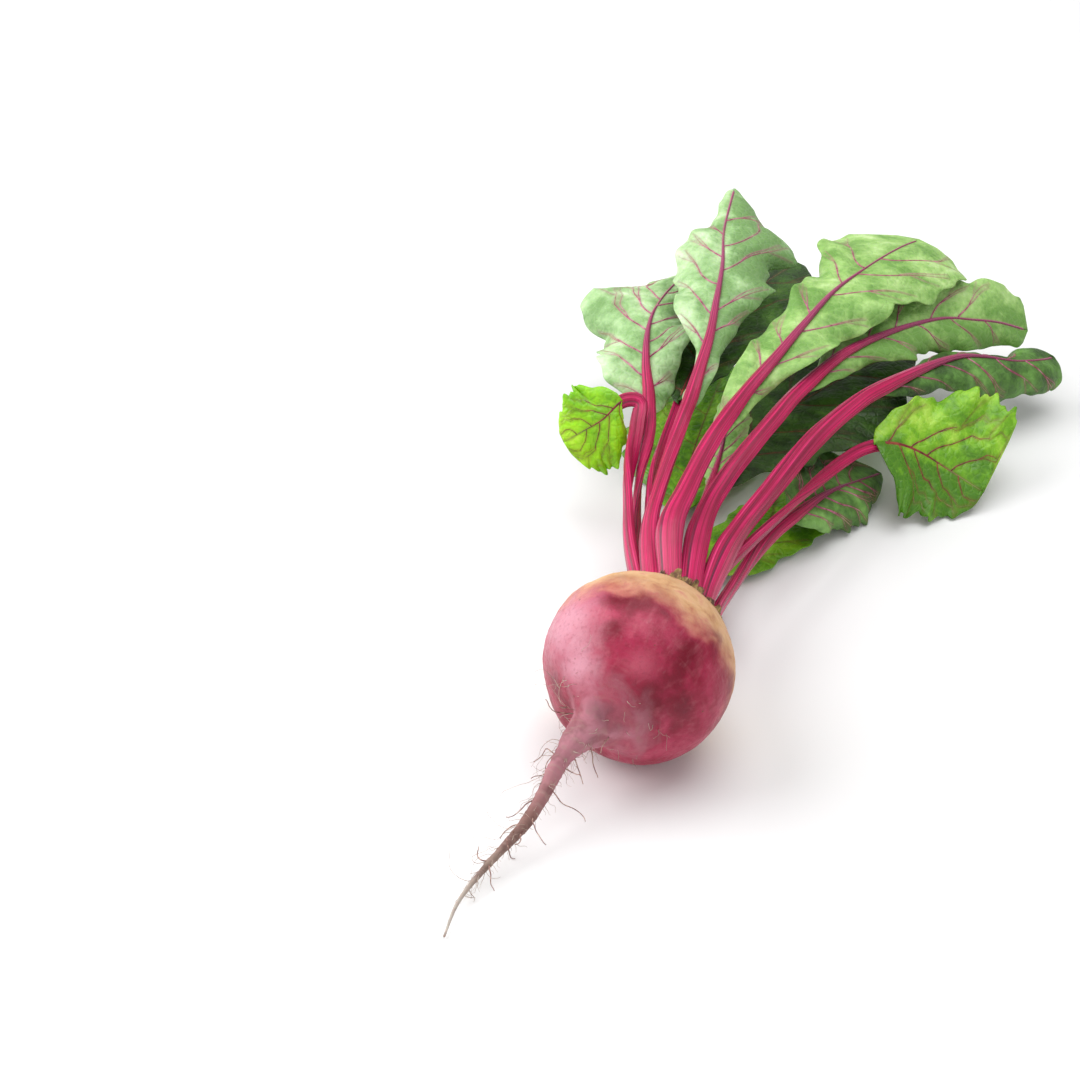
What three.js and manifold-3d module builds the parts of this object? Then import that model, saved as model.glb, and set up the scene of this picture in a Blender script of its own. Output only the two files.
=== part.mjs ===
// A freshly pulled beetroot that lies on its side: the round root with its long tail and side rootlets, the rough
// crown, and thirteen leaves, each a magenta stalk that runs on as the midrib of a waved green blade.
// Millimetres. +Y runs from the tail to the leaves, +Z is up, and the origin is under the root, on its resting spot.
import * as THREE from "three";
import { mergeVertices } from "three/addons/utils/BufferGeometryUtils.js";
import Module from "manifold-3d";

const wasm = await Module();
wasm.setup();

// The root. How much of its round underside is pressed flat where it rests is REST_DEPTH.
const ROOT_RADIUS = 34;
const REST_DEPTH = 0.7;
const AXIS_HEIGHT = ROOT_RADIUS - REST_DEPTH;
const ROOT_SIDES = 26;

// The crown, and the two rings of stalks that stand a hair clear of its top.
const CROWN_Y = 35;
const CROWN_DOME = 0.5;
const OUTER_RING = 13;
const INNER_RING = 6;
const CLEARANCE = 0.35;
const STALK_FOOT = CROWN_Y + CROWN_DOME + CLEARANCE;
const FOOT_WIDTH = 6.6;

// The leaves.
const BLADE_THICKNESS = 0.8;
const BLADE_ROWS = 16;
const BLADE_COLUMNS = 4; // on each side of the midrib
const EDGE_NOTCHES = 4.5; // shallow notches along each edge
const EDGE_NOTCH = 0.06; // their depth, as a share of the blade's width there
const STALK_SIDES = 7;
const STALK_STEPS = 9;

const vector = (list) => new THREE.Vector3(...list);
const degrees = THREE.MathUtils.degToRad;
const { lerp, smoothstep, clamp } = THREE.MathUtils;

// A small repeatable random number generator, for the rootlets and the crown's old leaf stubs.
function seeded(seed) {
  let state = seed;
  return (low, high) => {
    state = (state * 1664525 + 1013904223) % 4294967296;
    return low + ((high - low) * state) / 4294967296;
  };
}

function smoothCurve(points) {
  const curve = new THREE.CatmullRomCurve3(points, false, "catmullrom", 0.5);
  curve.arcLengthDivisions = 400;
  return curve;
}

// A list of sizes at equal steps, read smoothly at any share of the way along it.
function along(list, share) {
  const curve = new THREE.SplineCurve(list.map((size, i) => new THREE.Vector2(i, size)));
  return curve.getPoint(share).y;
}

// Geometry with its shared vertices merged, and the solid made of it.
function closed(geometry) {
  const bare = new THREE.BufferGeometry();
  bare.setAttribute("position", geometry.getAttribute("position").clone());
  bare.setIndex(geometry.index ? geometry.index.clone() : null);
  return mergeVertices(bare, 1e-3);
}

function toSolid(geometry) {
  const merged = closed(geometry);
  const mesh = new wasm.Mesh({
    numProp: 3,
    vertProperties: merged.attributes.position.array,
    triVerts: new Uint32Array(merged.index.array),
  });
  return new wasm.Manifold(mesh);
}

function toGeometry(solid) {
  const mesh = solid.getMesh();
  const geometry = new THREE.BufferGeometry();
  geometry.setAttribute("position", new THREE.BufferAttribute(new Float32Array(mesh.vertProperties), 3));
  geometry.setIndex(new THREE.BufferAttribute(new Uint32Array(mesh.triVerts), 1));
  return geometry;
}

// The largest body of a solid, so that a loose scrap left by a cut is dropped.
function mainBody(solid) {
  return solid.decompose().sort((a, b) => b.volume() - a.volume())[0];
}

// Turns a shape's faces round if its volume is negative.
function facingOut(geometry) {
  const index = geometry.index;
  const position = geometry.getAttribute("position");
  const corner = [0, 1, 2].map(() => new THREE.Vector3());
  let volume = 0;
  for (let i = 0; i < index.count; i += 3) {
    corner.forEach((c, k) => c.fromBufferAttribute(position, index.getX(i + k)));
    volume += corner[0].dot(corner[1].clone().cross(corner[2]));
  }
  if (volume > 0) return geometry;
  for (let i = 0; i < index.count; i += 3) {
    const kept = index.getX(i + 1);
    index.setX(i + 1, index.getX(i + 2));
    index.setX(i + 2, kept);
  }
  return geometry;
}

// A closed tube along a list of stations, each { centre, across, out, width, depth }: a cylinder whose rings are
// moved on to the stations. Its outer side is round, and its inner side is hollowed by the share called groove.
function tube(stations, sides, groove) {
  const geometry = new THREE.CylinderGeometry(1, 1, 1, sides, stations.length - 1);
  const position = geometry.getAttribute("position");
  for (let i = 0; i < position.count; i++) {
    const ring = Math.round((position.getY(i) + 0.5) * (stations.length - 1));
    const { centre, across, out, width, depth } = stations[ring];
    const x = position.getX(i);
    const z = position.getZ(i);
    const hollow = z < -0.5 ? groove * (1 - x * x) : 0;
    const point = centre.clone();
    point.addScaledVector(across, (x * width) / 2);
    point.addScaledVector(out, ((z + hollow) * depth) / 2);
    position.setXYZ(i, point.x, point.y, point.z);
  }
  return facingOut(closed(geometry));
}

// The root's outline, as [distance from the root's middle towards the leaves, radius].
const ROOT_OUTLINE = [
  [CROWN_Y, 15],
  [33.4, 17.4],
  [30, 20.2],
  [24, 25.6],
  [16, 30.6],
  [6, 33.7],
  [-4, 33.9],
  [-14, 31.2],
  [-22, 26],
  [-28, 19.6],
  [-32, 13],
  [-35, 8.4],
  [-40, 5.8],
];
const ROOT_RINGS = 19;

// The radius of the tail at equal steps, from the root's narrow end to the tip.
const TAIL_START = 40;
const TAIL_RADII = [5.8, 3.8, 3.0, 2.6, 2.3, 2.0, 1.65, 1.3, 1.0, 0.8, 0.65, 0.5];

// The line that the root and its tail follow, from the crown to the tip.
const ROOT_LINE = smoothCurve(
  [
    [0, CROWN_Y, AXIS_HEIGHT],
    [0, 10, AXIS_HEIGHT],
    [0, -14, AXIS_HEIGHT],
    [-1.5, -30, AXIS_HEIGHT - 0.8],
    [-6, -40, 28.5],
    [-9, -47, 23],
    [-10.5, -60, 15],
    [-12.5, -69, 10.5],
    [-16, -80, 7],
    [-19, -93, 4.2],
    [-20, -104, 2.6],
    [-18, -117, 1],
  ].map(vector),
);
const LINE_LENGTH = ROOT_LINE.getLength();
const TAIL_LENGTH = LINE_LENGTH - CROWN_Y - TAIL_START;

// The place on that line at a distance from the crown, with the directions back along it, across it and up from it.
function onRootLine(distance) {
  const share = clamp(distance / LINE_LENGTH, 0, 1);
  const centre = ROOT_LINE.getPointAt(share);
  const back = ROOT_LINE.getTangentAt(share);
  const across = new THREE.Vector3(1, 0, 0).addScaledVector(back, -back.x).normalize();
  return { centre, back, across, up: across.clone().cross(back) };
}

// How far a real root strays from round: broad bulges, and the two shallow furrows that side roots grow from.
function rootSwell(angle, y) {
  const body = 1 - smoothstep(Math.abs(y), 20, 34);
  const bulges = 0.014 * Math.sin(2 * angle + 0.6) + 0.012 * Math.sin(3 * angle + 2.1 + y * 0.05);
  const low = smoothstep(-y, 10, 26) * (1 - smoothstep(-y, 32, 60));
  const furrows = 0.1 * low * Math.abs(Math.cos(angle)) ** 12;
  return 1 + body * bulges - furrows;
}

function rootBody() {
  const outline = new THREE.SplineCurve(ROOT_OUTLINE.map(([y, r]) => new THREE.Vector2(r, y)));
  const points = [new THREE.Vector2(0, CROWN_Y + CROWN_DOME), ...outline.getSpacedPoints(ROOT_RINGS)];
  const tailRings = TAIL_RADII.length - 1;
  for (let i = 1; i <= tailRings; i++)
    points.push(new THREE.Vector2(TAIL_RADII[i], -TAIL_START - (i / tailRings) * TAIL_LENGTH));
  points.push(new THREE.Vector2(0, -TAIL_START - TAIL_LENGTH - 0.4));
  const geometry = new THREE.LatheGeometry(points, ROOT_SIDES);
  const position = geometry.getAttribute("position");
  for (let i = 0; i < position.count; i++) {
    const x = position.getX(i);
    const y = position.getY(i);
    const z = position.getZ(i);
    const { centre, back, across, up } = onRootLine(CROWN_Y - y);
    const swell = rootSwell(Math.atan2(z, x), y);
    const beyond = CROWN_Y - y - clamp(CROWN_Y - y, 0, LINE_LENGTH);
    const point = centre.addScaledVector(across, x * swell).addScaledVector(up, z * swell);
    point.addScaledVector(back, beyond);
    position.setXYZ(i, point.x, point.y, point.z);
  }
  return toSolid(facingOut(closed(geometry)));
}

// A side rootlet: a slim four-sided taper that starts inside the root and curls away.
function rootlet(start, heading, length, radius, curl) {
  const steps = 5;
  const stations = [];
  const point = start.clone();
  const direction = heading.clone().normalize();
  for (let i = 0; i <= steps; i++) {
    const across = new THREE.Vector3(0, 0, 1).cross(direction).normalize();
    const thick = 2 * lerp(radius, 0.35, i / steps);
    const centre = point.clone();
    centre.z = Math.max(centre.z, 0.2 + thick / 2);
    stations.push({ centre, across, out: direction.clone().cross(across), width: thick, depth: thick });
    direction.add(curl).normalize();
    point.addScaledVector(direction, length / steps);
  }
  return toSolid(tube(stations, 4, 0));
}

function rootlets() {
  const random = seeded(11);
  const made = [];
  const count = 18;
  const first = CROWN_Y + 27;
  const last = CROWN_Y + 100;
  for (let i = 0; i < count; i++) {
    const distance = lerp(first, last, (i / count) ** 1.1) + random(-2, 2);
    const { centre, back, across, up } = onRootLine(distance);
    const onBulb = distance < CROWN_Y + 36;
    const angle = (i % 2 ? 0 : Math.PI) + random(-0.8, 0.8);
    const away = across.clone().multiplyScalar(Math.cos(angle)).addScaledVector(up, Math.sin(angle));
    const heading = away.clone().addScaledVector(back, random(0, 1));
    const curl = new THREE.Vector3(random(-0.25, 0.25), random(-0.3, 0.1), random(-0.35, 0.05));
    const start = centre.clone().addScaledVector(away, onBulb ? 7 : 0.3);
    const length = onBulb ? random(16, 26) : random(8, 17);
    made.push(rootlet(start, heading, length, random(0.55, 0.85), curl));
  }
  return made;
}

// The dry stubs of old leaves that fringe the crown.
function crownStubs() {
  const random = seeded(5);
  const made = [];
  const count = 20;
  for (let i = 0; i < count; i++) {
    const angle = ((i + random(-0.25, 0.25)) / count) * Math.PI * 2;
    const away = new THREE.Vector3(Math.cos(angle), 0, Math.sin(angle));
    const across = new THREE.Vector3(-Math.sin(angle), 0, Math.cos(angle));
    const height = random(5, 7.4);
    const lean = random(0.6, 2.2);
    const width = random(2.8, 4.4);
    const stations = [0, 0.55, 1].map((share) => ({
      centre: new THREE.Vector3(0, CROWN_Y - 4 + share * height, AXIS_HEIGHT).addScaledVector(away, 15.6 + share * lean),
      across,
      out: away,
      width: width * (1 - 0.6 * share),
      depth: 2.4 - 1.4 * share,
    }));
    made.push(toSolid(tube(stations, 5, 0)));
  }
  return made;
}

// The leaves, named by where they lie. ring and turn place the stalk's foot on the crown, turn in degrees from +X
// towards +Z, and path is the rest of its line; the blade starts at the point of path numbered bladeAt, from one.
// rib says which side of the blade the midrib stands out on, and up and tipUp which way the blade's top looks at its
// start and at its tip. left and right are the blade's widths beside the midrib at equal steps from start to tip,
// and bendLeft and bendRight how far its edges have turned up, or down if negative, in degrees.
const LEAVES = [
  {
    name: "left_small_leaf", ring: OUTER_RING, turn: 168, thick: 7.4, rib: "below", bladeAt: 6,
    path: [[-26, 64, 37], [-37, 87, 40], [-48, 113, 43], [-53.5, 128, 47], [-57.5, 137.5, 51], [-64, 134.5, 51],
      [-68.5, 125.5, 46.4], [-74.5, 119.5, 42.6], [-80.5, 114, 39]],
    up: [0.34, -0.73, 0.59], tipUp: [0.34, -0.73, 0.59],
    left: [1, 9, 15, 19, 19, 15, 6], right: [8, 16, 18, 17, 15, 11, 5],
    bendLeft: -20, bendRight: -20, lead: 0, waves: 2, ruffle: 1.2, phase: 0.4, rows: 12,
  },
  {
    name: "left_curled_leaf", ring: OUTER_RING, turn: 200, thick: 6.6, rib: "above", bladeAt: 5,
    path: [[-23, 62, 31], [-33, 85, 33], [-41, 107, 36], [-49, 130, 38.5], [-59, 152, 43], [-68, 170, 48],
      [-75, 188, 51.5], [-79, 205, 53], [-80, 223, 53], [-80, 242, 51]],
    up: [-0.1, 0, 1], tipUp: [0, 0.1, 1],
    left: [4, 14, 20, 25, 33, 31, 20, 6], right: [4, 12, 17, 20, 20, 17, 10, 3],
    bendLeft: -35, bendRight: -8, lead: 0.1, waves: 2, ruffle: 8, phase: 3.4,
  },
  {
    name: "top_left_leaf", ring: OUTER_RING, turn: 136, thick: 7.4, rib: "above", bladeAt: 4,
    path: [[-19, 62, 43], [-25, 84, 46], [-31, 112, 50.5], [-36, 140, 56], [-39, 158, 61], [-42, 175, 65.5],
      [-47, 194, 70], [-54, 219, 74], [-63, 244, 77], [-73, 283, 77]],
    up: [0, -0.2, 1], tipUp: [0, 0, 1],
    left: [3, 5, 14, 21, 21, 10, 6, 3], right: [3, 6, 14, 20, 27, 34, 18, 3],
    bendLeft: -35, bendRight: -60, lead: 0.05, waves: 3, ruffle: 4, phase: 0,
  },
  {
    name: "top_right_leaf", ring: OUTER_RING, turn: 100, thick: 9, rib: "above", bladeAt: 4,
    path: [[-11, 58, 49.5], [-14, 80, 51.5], [-16.5, 106, 53.5], [-17, 131, 56], [-16, 152, 58], [-13, 174, 61.5],
      [-10, 200, 65], [-7, 230, 66.5], [-1, 260, 65.5], [4, 288, 61.5], [8, 308, 57]],
    up: [0, -0.1, 1], tipUp: [0, 0.3, 1],
    left: [5, 12, 15, 14, 17, 26, 33, 15], right: [4, 7, 15, 22, 26, 31, 34, 17],
    bendLeft: -8, bendRight: -30, lead: 0.04, waves: 3.5, ruffle: 3.5, phase: 2,
  },
  {
    name: "right_leaf", ring: OUTER_RING, turn: 66, thick: 8.4, rib: "above", bladeAt: 6,
    path: [[-4, 62, 43.5], [-8, 84, 44], [-8, 103, 45.5], [-6, 121, 47.5], [-3, 143, 49.5], [1, 173, 51.5],
      [8, 205, 53], [20, 236, 51], [33, 260, 47.5], [45, 273, 43], [54, 284, 38], [64, 298, 29]],
    up: [0, 0, 1], tipUp: [0.75, -0.3, 0.6],
    left: [3, 8, 14, 18, 18, 21, 19, 16], right: [3, 8, 11, 14, 15, 13, 11, 8],
    bendLeft: -15, bendRight: -50, lead: 0.02, waves: 3, ruffle: 3.5, phase: 1,
  },
  {
    name: "right_rolled_leaf", ring: OUTER_RING, turn: 34, thick: 9.4, rib: "above", bladeAt: 6,
    path: [[3.5, 62, 38.5], [2.5, 82, 38], [4, 102, 38.5], [10, 144, 40.5], [19, 179, 41.5], [26, 200, 41.5],
      [37, 230, 39.5], [46, 248, 37.5], [55, 259, 34], [66, 268, 30], [75, 280.5, 26], [78.5, 292, 22]],
    up: [0, 0, 1], tipUp: [0.4, 0.2, 0.9],
    left: [3, 9, 13, 13, 9, 9, 18, 22], right: [3, 9, 15, 22, 23, 20, 18, 19],
    bendLeft: -85, bendRight: -125, lead: 0, waves: 2, ruffle: 1.5, phase: 0.7,
  },
  {
    name: "right_open_leaf", ring: INNER_RING, turn: -10, thick: 6.6, rib: "below", bladeAt: 6,
    path: [[2.5, 64, 33], [9, 101, 33.5], [15, 130, 34], [24, 160, 33.5], [29, 173, 32.5], [34.5, 181, 30.5],
      [41, 187, 27.5], [49, 191.5, 22.5], [59, 194.5, 16], [74.5, 197, 7.5]],
    up: [0.3, -0.45, 0.85], tipUp: [0.45, -0.5, 0.75],
    left: [4, 17, 25, 33, 39, 40, 39, 35], right: [10, 26, 29, 27, 24, 21, 16, 8],
    bendLeft: 0, bendRight: -10, lead: 0.1, waves: 3, ruffle: 2.4, phase: 2.4,
  },
  {
    name: "right_low_leaf", ring: OUTER_RING, turn: -8, thick: 7, rib: "above", bladeAt: 4,
    path: [[6.2, 62, 24.8], [6.6, 88, 22.6], [9.5, 108, 21.2], [14, 126, 20.5], [18, 147, 18.5], [22, 162, 16],
      [26, 174, 13], [32, 190, 9]],
    up: [0.3, 0, 1], tipUp: [0.3, 0.2, 1],
    left: [3, 13, 22, 27, 25, 16, 4], right: [3, 12, 18, 19, 17, 12, 4],
    bendLeft: 5, bendRight: -90, lead: 0, waves: 2, ruffle: 1.5, phase: 0.3, rows: 12,
  },
  {
    name: "floor_middle_leaf", ring: OUTER_RING, turn: -74, thick: 6.4, rib: "below", bladeAt: 3,
    path: [[-2, 57, 13], [-8.5, 78, 7.5], [-11, 97, 5.4], [-4, 120, 4.6], [6, 147, 4], [15, 172, 3.2], [25, 198, 2.4]],
    up: [0, 0, 1], tipUp: [0, 0, 1],
    left: [4, 16, 22, 22, 20, 14, 4], right: [4, 14, 15, 15, 13, 9, 4],
    bendLeft: -15, bendRight: -15, lead: 0.05, waves: 3, ruffle: 0.6, phase: 0.9, rows: 12,
  },
  {
    name: "floor_left_leaf", ring: OUTER_RING, turn: -110, thick: 6.4, rib: "below", bladeAt: 4,
    path: [[-12, 58, 14], [-22, 84, 8], [-30, 110, 6], [-37, 135, 5.5], [-45, 165, 5.2], [-51, 195, 6], [-55, 222, 8],
      [-58, 245, 9]],
    up: [0, 0, 1], tipUp: [0, 0, 1],
    left: [4, 18, 28, 32, 30, 24, 14, 4], right: [4, 16, 24, 28, 27, 22, 13, 4],
    bendLeft: -14, bendRight: 10, lead: 0.05, waves: 3, ruffle: 1.9, phase: 0.2,
  },
  {
    name: "inner_left_leaf", ring: INNER_RING, turn: 180, thick: 6.4, rib: "below", bladeAt: 6,
    path: [[-11, 50, 34.5], [-17, 62, 35.5], [-23, 74, 37], [-34, 102, 39.5], [-43, 134, 40], [-50, 165, 40],
      [-54, 195, 41.5], [-54, 220, 44], [-51, 243, 46], [-46, 264, 47], [-41, 284, 46]],
    up: [0, 0, 1], tipUp: [0, 0, 1],
    left: [4, 12, 18, 22, 24, 24, 18, 5], right: [4, 14, 21, 24, 25, 24, 18, 5],
    bendLeft: -10, bendRight: 10, lead: 0.05, waves: 3, ruffle: 2, phase: 1.6,
  },
  {
    name: "inner_right_leaf", ring: INNER_RING, turn: -95, thick: 6, rib: "below", bladeAt: 3,
    path: [[-5, 66, 31], [-12, 96, 31.5], [-15, 125, 31], [-16, 150, 30], [-14, 172, 29], [-9, 195, 29],
      [-1, 217, 29], [8, 240, 28], [20, 264, 26]],
    up: [0, 0, 1], tipUp: [0, 0, 1],
    left: [4, 14, 20, 23, 24, 23, 17, 5], right: [4, 18, 28, 36, 36, 30, 22, 6],
    bendLeft: 10, bendRight: -18, lead: 0.05, waves: 3, ruffle: 2, phase: 0.5,
  },
  {
    name: "heart_leaf", ring: INNER_RING, turn: 88, thick: 4.6, rib: "above", bladeAt: 3,
    path: [[-3, 60, 38.5], [-9, 85, 39], [-14, 108, 39.5], [-19, 132, 41], [-24, 152, 43], [-28, 170, 46]],
    up: [-0.5, 0, 0.8], tipUp: [-0.4, 0, 1],
    left: [3, 8, 11, 12, 10, 7, 3], right: [3, 7, 10, 10, 9, 7, 3],
    bendLeft: -30, bendRight: -30, lead: 0, waves: 2, ruffle: 1.5, phase: 0.5, rows: 10,
  },
];

function prepareLeaf(leaf) {
  const away = new THREE.Vector3(Math.cos(degrees(leaf.turn)), 0, Math.sin(degrees(leaf.turn)));
  const above = leaf.rib === "above";
  const foot = new THREE.Vector3(0, STALK_FOOT, AXIS_HEIGHT).addScaledVector(away, leaf.ring - FOOT_WIDTH * 0.5);
  const points = [foot, ...leaf.path.map(vector)];
  const curve = smoothCurve(points);
  const lengths = curve.getLengths(400);
  const stalk = lengths[Math.round((leaf.bladeAt / (points.length - 1)) * 400)];
  return {
    ...leaf,
    above,
    curve,
    length: curve.getLength(),
    stalk,
    blade: curve.getLength() - stalk,
    footUp: above ? away : away.negate(),
    up: vector(leaf.up).normalize(),
    tipUp: vector(leaf.tipUp).normalize(),
    rows: leaf.rows ?? BLADE_ROWS,
  };
}

// The place on a leaf's line at a distance from its foot, with the directions ahead, to the right and up.
function onLeafLine(leaf, distance) {
  const share = clamp(distance / leaf.length, 0, 1);
  const centre = leaf.curve.getPointAt(share);
  const ahead = distance > 0 ? leaf.curve.getTangentAt(share) : new THREE.Vector3(0, 1, 0);
  centre.addScaledVector(ahead, distance - share * leaf.length);
  const turned = smoothstep(distance, leaf.stalk * 0.3, leaf.stalk + 5);
  const tipTurned = smoothstep(distance, leaf.stalk + 5, leaf.length);
  const up = leaf.footUp.clone().lerp(leaf.up, turned).lerp(leaf.tipUp, tipTurned);
  up.addScaledVector(ahead, -up.dot(ahead)).normalize();
  return { centre, ahead, up, right: ahead.clone().cross(up) };
}

// A point of the blade's middle surface. u runs from its start to its tip, and v from -1, left, to 1, right.
function bladePoint(leaf, u, v) {
  const toRight = v >= 0;
  const sign = toRight ? 1 : -1;
  const share = Math.abs(v);
  const notch = 1 + EDGE_NOTCH * Math.sin(Math.PI * 2 * EDGE_NOTCHES * u + 3 * leaf.phase + (toRight ? 1 : 0));
  const reach = along(toRight ? leaf.right : leaf.left, u) * notch * share;
  const bend = degrees(toRight ? leaf.bendRight : leaf.bendLeft);
  const midrib = u * 0.985;
  const edge = u ** 0.85 - leaf.lead * (1 - u) ** 4;
  const { centre, up, right } = onLeafLine(leaf, leaf.stalk + leaf.blade * lerp(midrib, edge, share ** 1.5));
  const steps = 8;
  const point = centre.clone();
  for (let i = 0; i < steps; i++) {
    const turned = bend * (((i + 0.5) / steps) * share) ** 1.3;
    point.addScaledVector(right, (sign * reach * Math.cos(turned)) / steps);
    point.addScaledVector(up, (reach * Math.sin(turned)) / steps);
  }
  const turned = bend * share ** 1.3;
  const fade = Math.sin(Math.PI * clamp(u * 1.05 + 0.05, 0, 1)) ** 0.5;
  const wave = Math.sin(Math.PI * 2 * leaf.waves * u + leaf.phase + (toRight ? 0 : 2));
  const rise = leaf.ruffle * share ** 2 * fade * wave;
  point.addScaledVector(up, rise * Math.cos(turned));
  point.addScaledVector(right, -sign * rise * Math.sin(turned));
  return point;
}

// The blade as a thin closed shell, split into triangles alike on both faces.
function bladeGeometry(leaf) {
  const { rows } = leaf;
  const columns = 2 * BLADE_COLUMNS;
  const stride = columns + 1;
  const grid = [];
  for (let i = 0; i <= rows; i++)
    for (let j = 0; j <= columns; j++) grid.push(bladePoint(leaf, i / rows, (j / columns) * 2 - 1));
  const at = (i, j) => grid[clamp(i, 0, rows) * stride + clamp(j, 0, columns)];
  const vertices = [];
  for (const side of [0.5, -0.5])
    grid.forEach((point, k) => {
      const i = Math.floor(k / stride);
      const j = k % stride;
      const ahead = at(i + 1, j).clone().sub(at(i - 1, j));
      const across = at(i, j + 1).clone().sub(at(i, j - 1));
      const normal = across.cross(ahead).normalize();
      vertices.push(...point.clone().addScaledVector(normal, side * BLADE_THICKNESS).toArray());
    });
  const under = grid.length;
  const index = [];
  for (let i = 0; i < rows; i++)
    for (let j = 0; j < columns; j++) {
      const a = i * stride + j;
      const b = a + 1;
      const c = a + stride;
      const d = c + 1;
      index.push(a, b, c, b, d, c);
      index.push(under + a, under + c, under + b, under + b, under + c, under + d);
    }
  const rim = [];
  for (let j = 0; j < columns; j++) rim.push(j);
  for (let i = 0; i < rows; i++) rim.push(i * stride + columns);
  for (let j = columns; j > 0; j--) rim.push(rows * stride + j);
  for (let i = rows; i > 0; i--) rim.push(i * stride);
  rim.forEach((a, k) => {
    const b = rim[(k + 1) % rim.length];
    index.push(a, under + a, b, b, under + a, under + b);
  });
  const geometry = new THREE.BufferGeometry();
  geometry.setAttribute("position", new THREE.Float32BufferAttribute(vertices, 3));
  geometry.setIndex(index);
  return facingOut(geometry);
}

// The stalk, which runs on as the blade's midrib, a hair clear of the blade. grow makes it thicker all round.
function stalkStations(leaf, grow) {
  const distances = [];
  for (let i = 0; i < STALK_STEPS; i++) distances.push((i / STALK_STEPS) * leaf.stalk);
  for (let i = 0; i < leaf.rows; i++) distances.push(leaf.stalk + (i / leaf.rows) * leaf.blade * 0.985);
  return distances.map((distance, i) => {
    const { centre, ahead, up, right } = onLeafLine(leaf, distance);
    const out = leaf.above ? up : up.clone().negate();
    const onBlade = clamp((distance - leaf.stalk) / leaf.blade, 0, 1);
    const full = lerp(FOOT_WIDTH, leaf.thick, smoothstep(distance, 3, 32));
    const slim = lerp(1, 0.8, clamp(distance / leaf.stalk, 0, 1)) * (1 - onBlade) ** 1.1;
    const width = Math.max(1, full * slim);
    const depth = Math.max(0.8, width * lerp(0.85, 0.7, clamp(distance / 60, 0, 1)));
    centre.addScaledVector(out, BLADE_THICKNESS / 2 + CLEARANCE + depth / 2);
    if (i === 0) centre.addScaledVector(ahead, -grow);
    return { centre, across: right, out, width: width + grow * 2, depth: depth + grow * 2 };
  });
}

const ROOT_FINISH = new THREE.MeshStandardMaterial({ color: 0x9c3450, roughness: 0.5, metalness: 0 });
const STALK_FINISH = new THREE.MeshStandardMaterial({ color: 0xb8285f, roughness: 0.45, metalness: 0 });
const BLADE_FINISH = new THREE.MeshStandardMaterial({ color: 0x6fae4a, roughness: 0.55, metalness: 0 });

const beetroot = new THREE.Group();

function add(name, geometry, material) {
  const mesh = new THREE.Mesh(geometry, material.clone());
  mesh.name = name;
  beetroot.add(mesh);
}

const leaves = LEAVES.map(prepareLeaf);

// The root is one grown piece: body, tail, rootlets and stubs. It stays clear of the stalks, and ends flat on the
// surface it rests on.
let root = rootBody();
for (const piece of [...rootlets(), ...crownStubs()]) root = root.add(piece);
for (const leaf of leaves) root = root.subtract(toSolid(tube(stalkStations(leaf, CLEARANCE), STALK_SIDES, 0)));
const below = new THREE.BoxGeometry(400, 600, 40);
below.translate(0, 0, -20);
root = mainBody(root.subtract(toSolid(below)));
add("root", toGeometry(root), ROOT_FINISH);

for (const leaf of leaves) {
  add(`${leaf.name}_stalk`, tube(stalkStations(leaf, 0), STALK_SIDES, 0.35), STALK_FINISH);
  add(`${leaf.name}_blade`, bladeGeometry(leaf), BLADE_FINISH);
}

export default beetroot;
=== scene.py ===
# A freshly pulled beetroot that lies on its side: the round root and its long tail, the rough crown, thirteen
# magenta stalks and their waved leaf blades. Metres. +Y runs from the tail to the leaves, and +Z is up.
import math

import bpy
import numpy as np
from mathutils import Matrix, Vector, noise


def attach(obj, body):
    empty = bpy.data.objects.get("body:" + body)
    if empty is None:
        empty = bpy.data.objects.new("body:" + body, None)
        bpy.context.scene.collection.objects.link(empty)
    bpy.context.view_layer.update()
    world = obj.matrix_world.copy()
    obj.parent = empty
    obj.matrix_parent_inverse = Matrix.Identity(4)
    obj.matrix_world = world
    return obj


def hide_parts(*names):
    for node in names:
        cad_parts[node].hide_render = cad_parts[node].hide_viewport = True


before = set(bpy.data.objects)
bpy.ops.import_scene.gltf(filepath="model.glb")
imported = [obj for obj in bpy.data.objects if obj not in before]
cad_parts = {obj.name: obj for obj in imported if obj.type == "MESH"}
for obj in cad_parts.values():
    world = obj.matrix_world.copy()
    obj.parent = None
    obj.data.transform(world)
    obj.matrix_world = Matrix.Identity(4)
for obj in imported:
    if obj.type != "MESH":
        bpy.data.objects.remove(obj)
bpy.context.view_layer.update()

# The camera stands in front of the tail, a little to the right, and looks down over the whole plant. The root's
# middle is right of and below the middle of the picture.
CAMERA_LENS = 71.4
CAMERA_DISTANCE = 0.76
CAMERA_TURN = math.radians(25)
CAMERA_TILT = math.radians(36)
ROOT_MIDDLE = Vector((0, 0, 0.034))
ROOT_RIGHT_OF_VIEW = 0.0344
ROOT_BELOW_VIEW = 0.04506
to_camera = Vector((
    math.sin(CAMERA_TURN) * math.cos(CAMERA_TILT),
    -math.cos(CAMERA_TURN) * math.cos(CAMERA_TILT),
    math.sin(CAMERA_TILT),
))
view_right = Vector((math.cos(CAMERA_TURN), math.sin(CAMERA_TURN), 0))
view_up = to_camera.cross(view_right)
bpy.ops.object.camera_add()
camera = bpy.context.object
camera.name = "photo_camera"
camera.data.lens = CAMERA_LENS
camera.matrix_world = Matrix((view_right, view_up, to_camera)).transposed().to_4x4()
camera.location = (
    ROOT_MIDDLE + CAMERA_DISTANCE * to_camera - ROOT_RIGHT_OF_VIEW * view_right + ROOT_BELOW_VIEW * view_up
)
bpy.context.scene.camera = camera
bpy.context.scene.view_settings.view_transform = "Standard"

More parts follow.
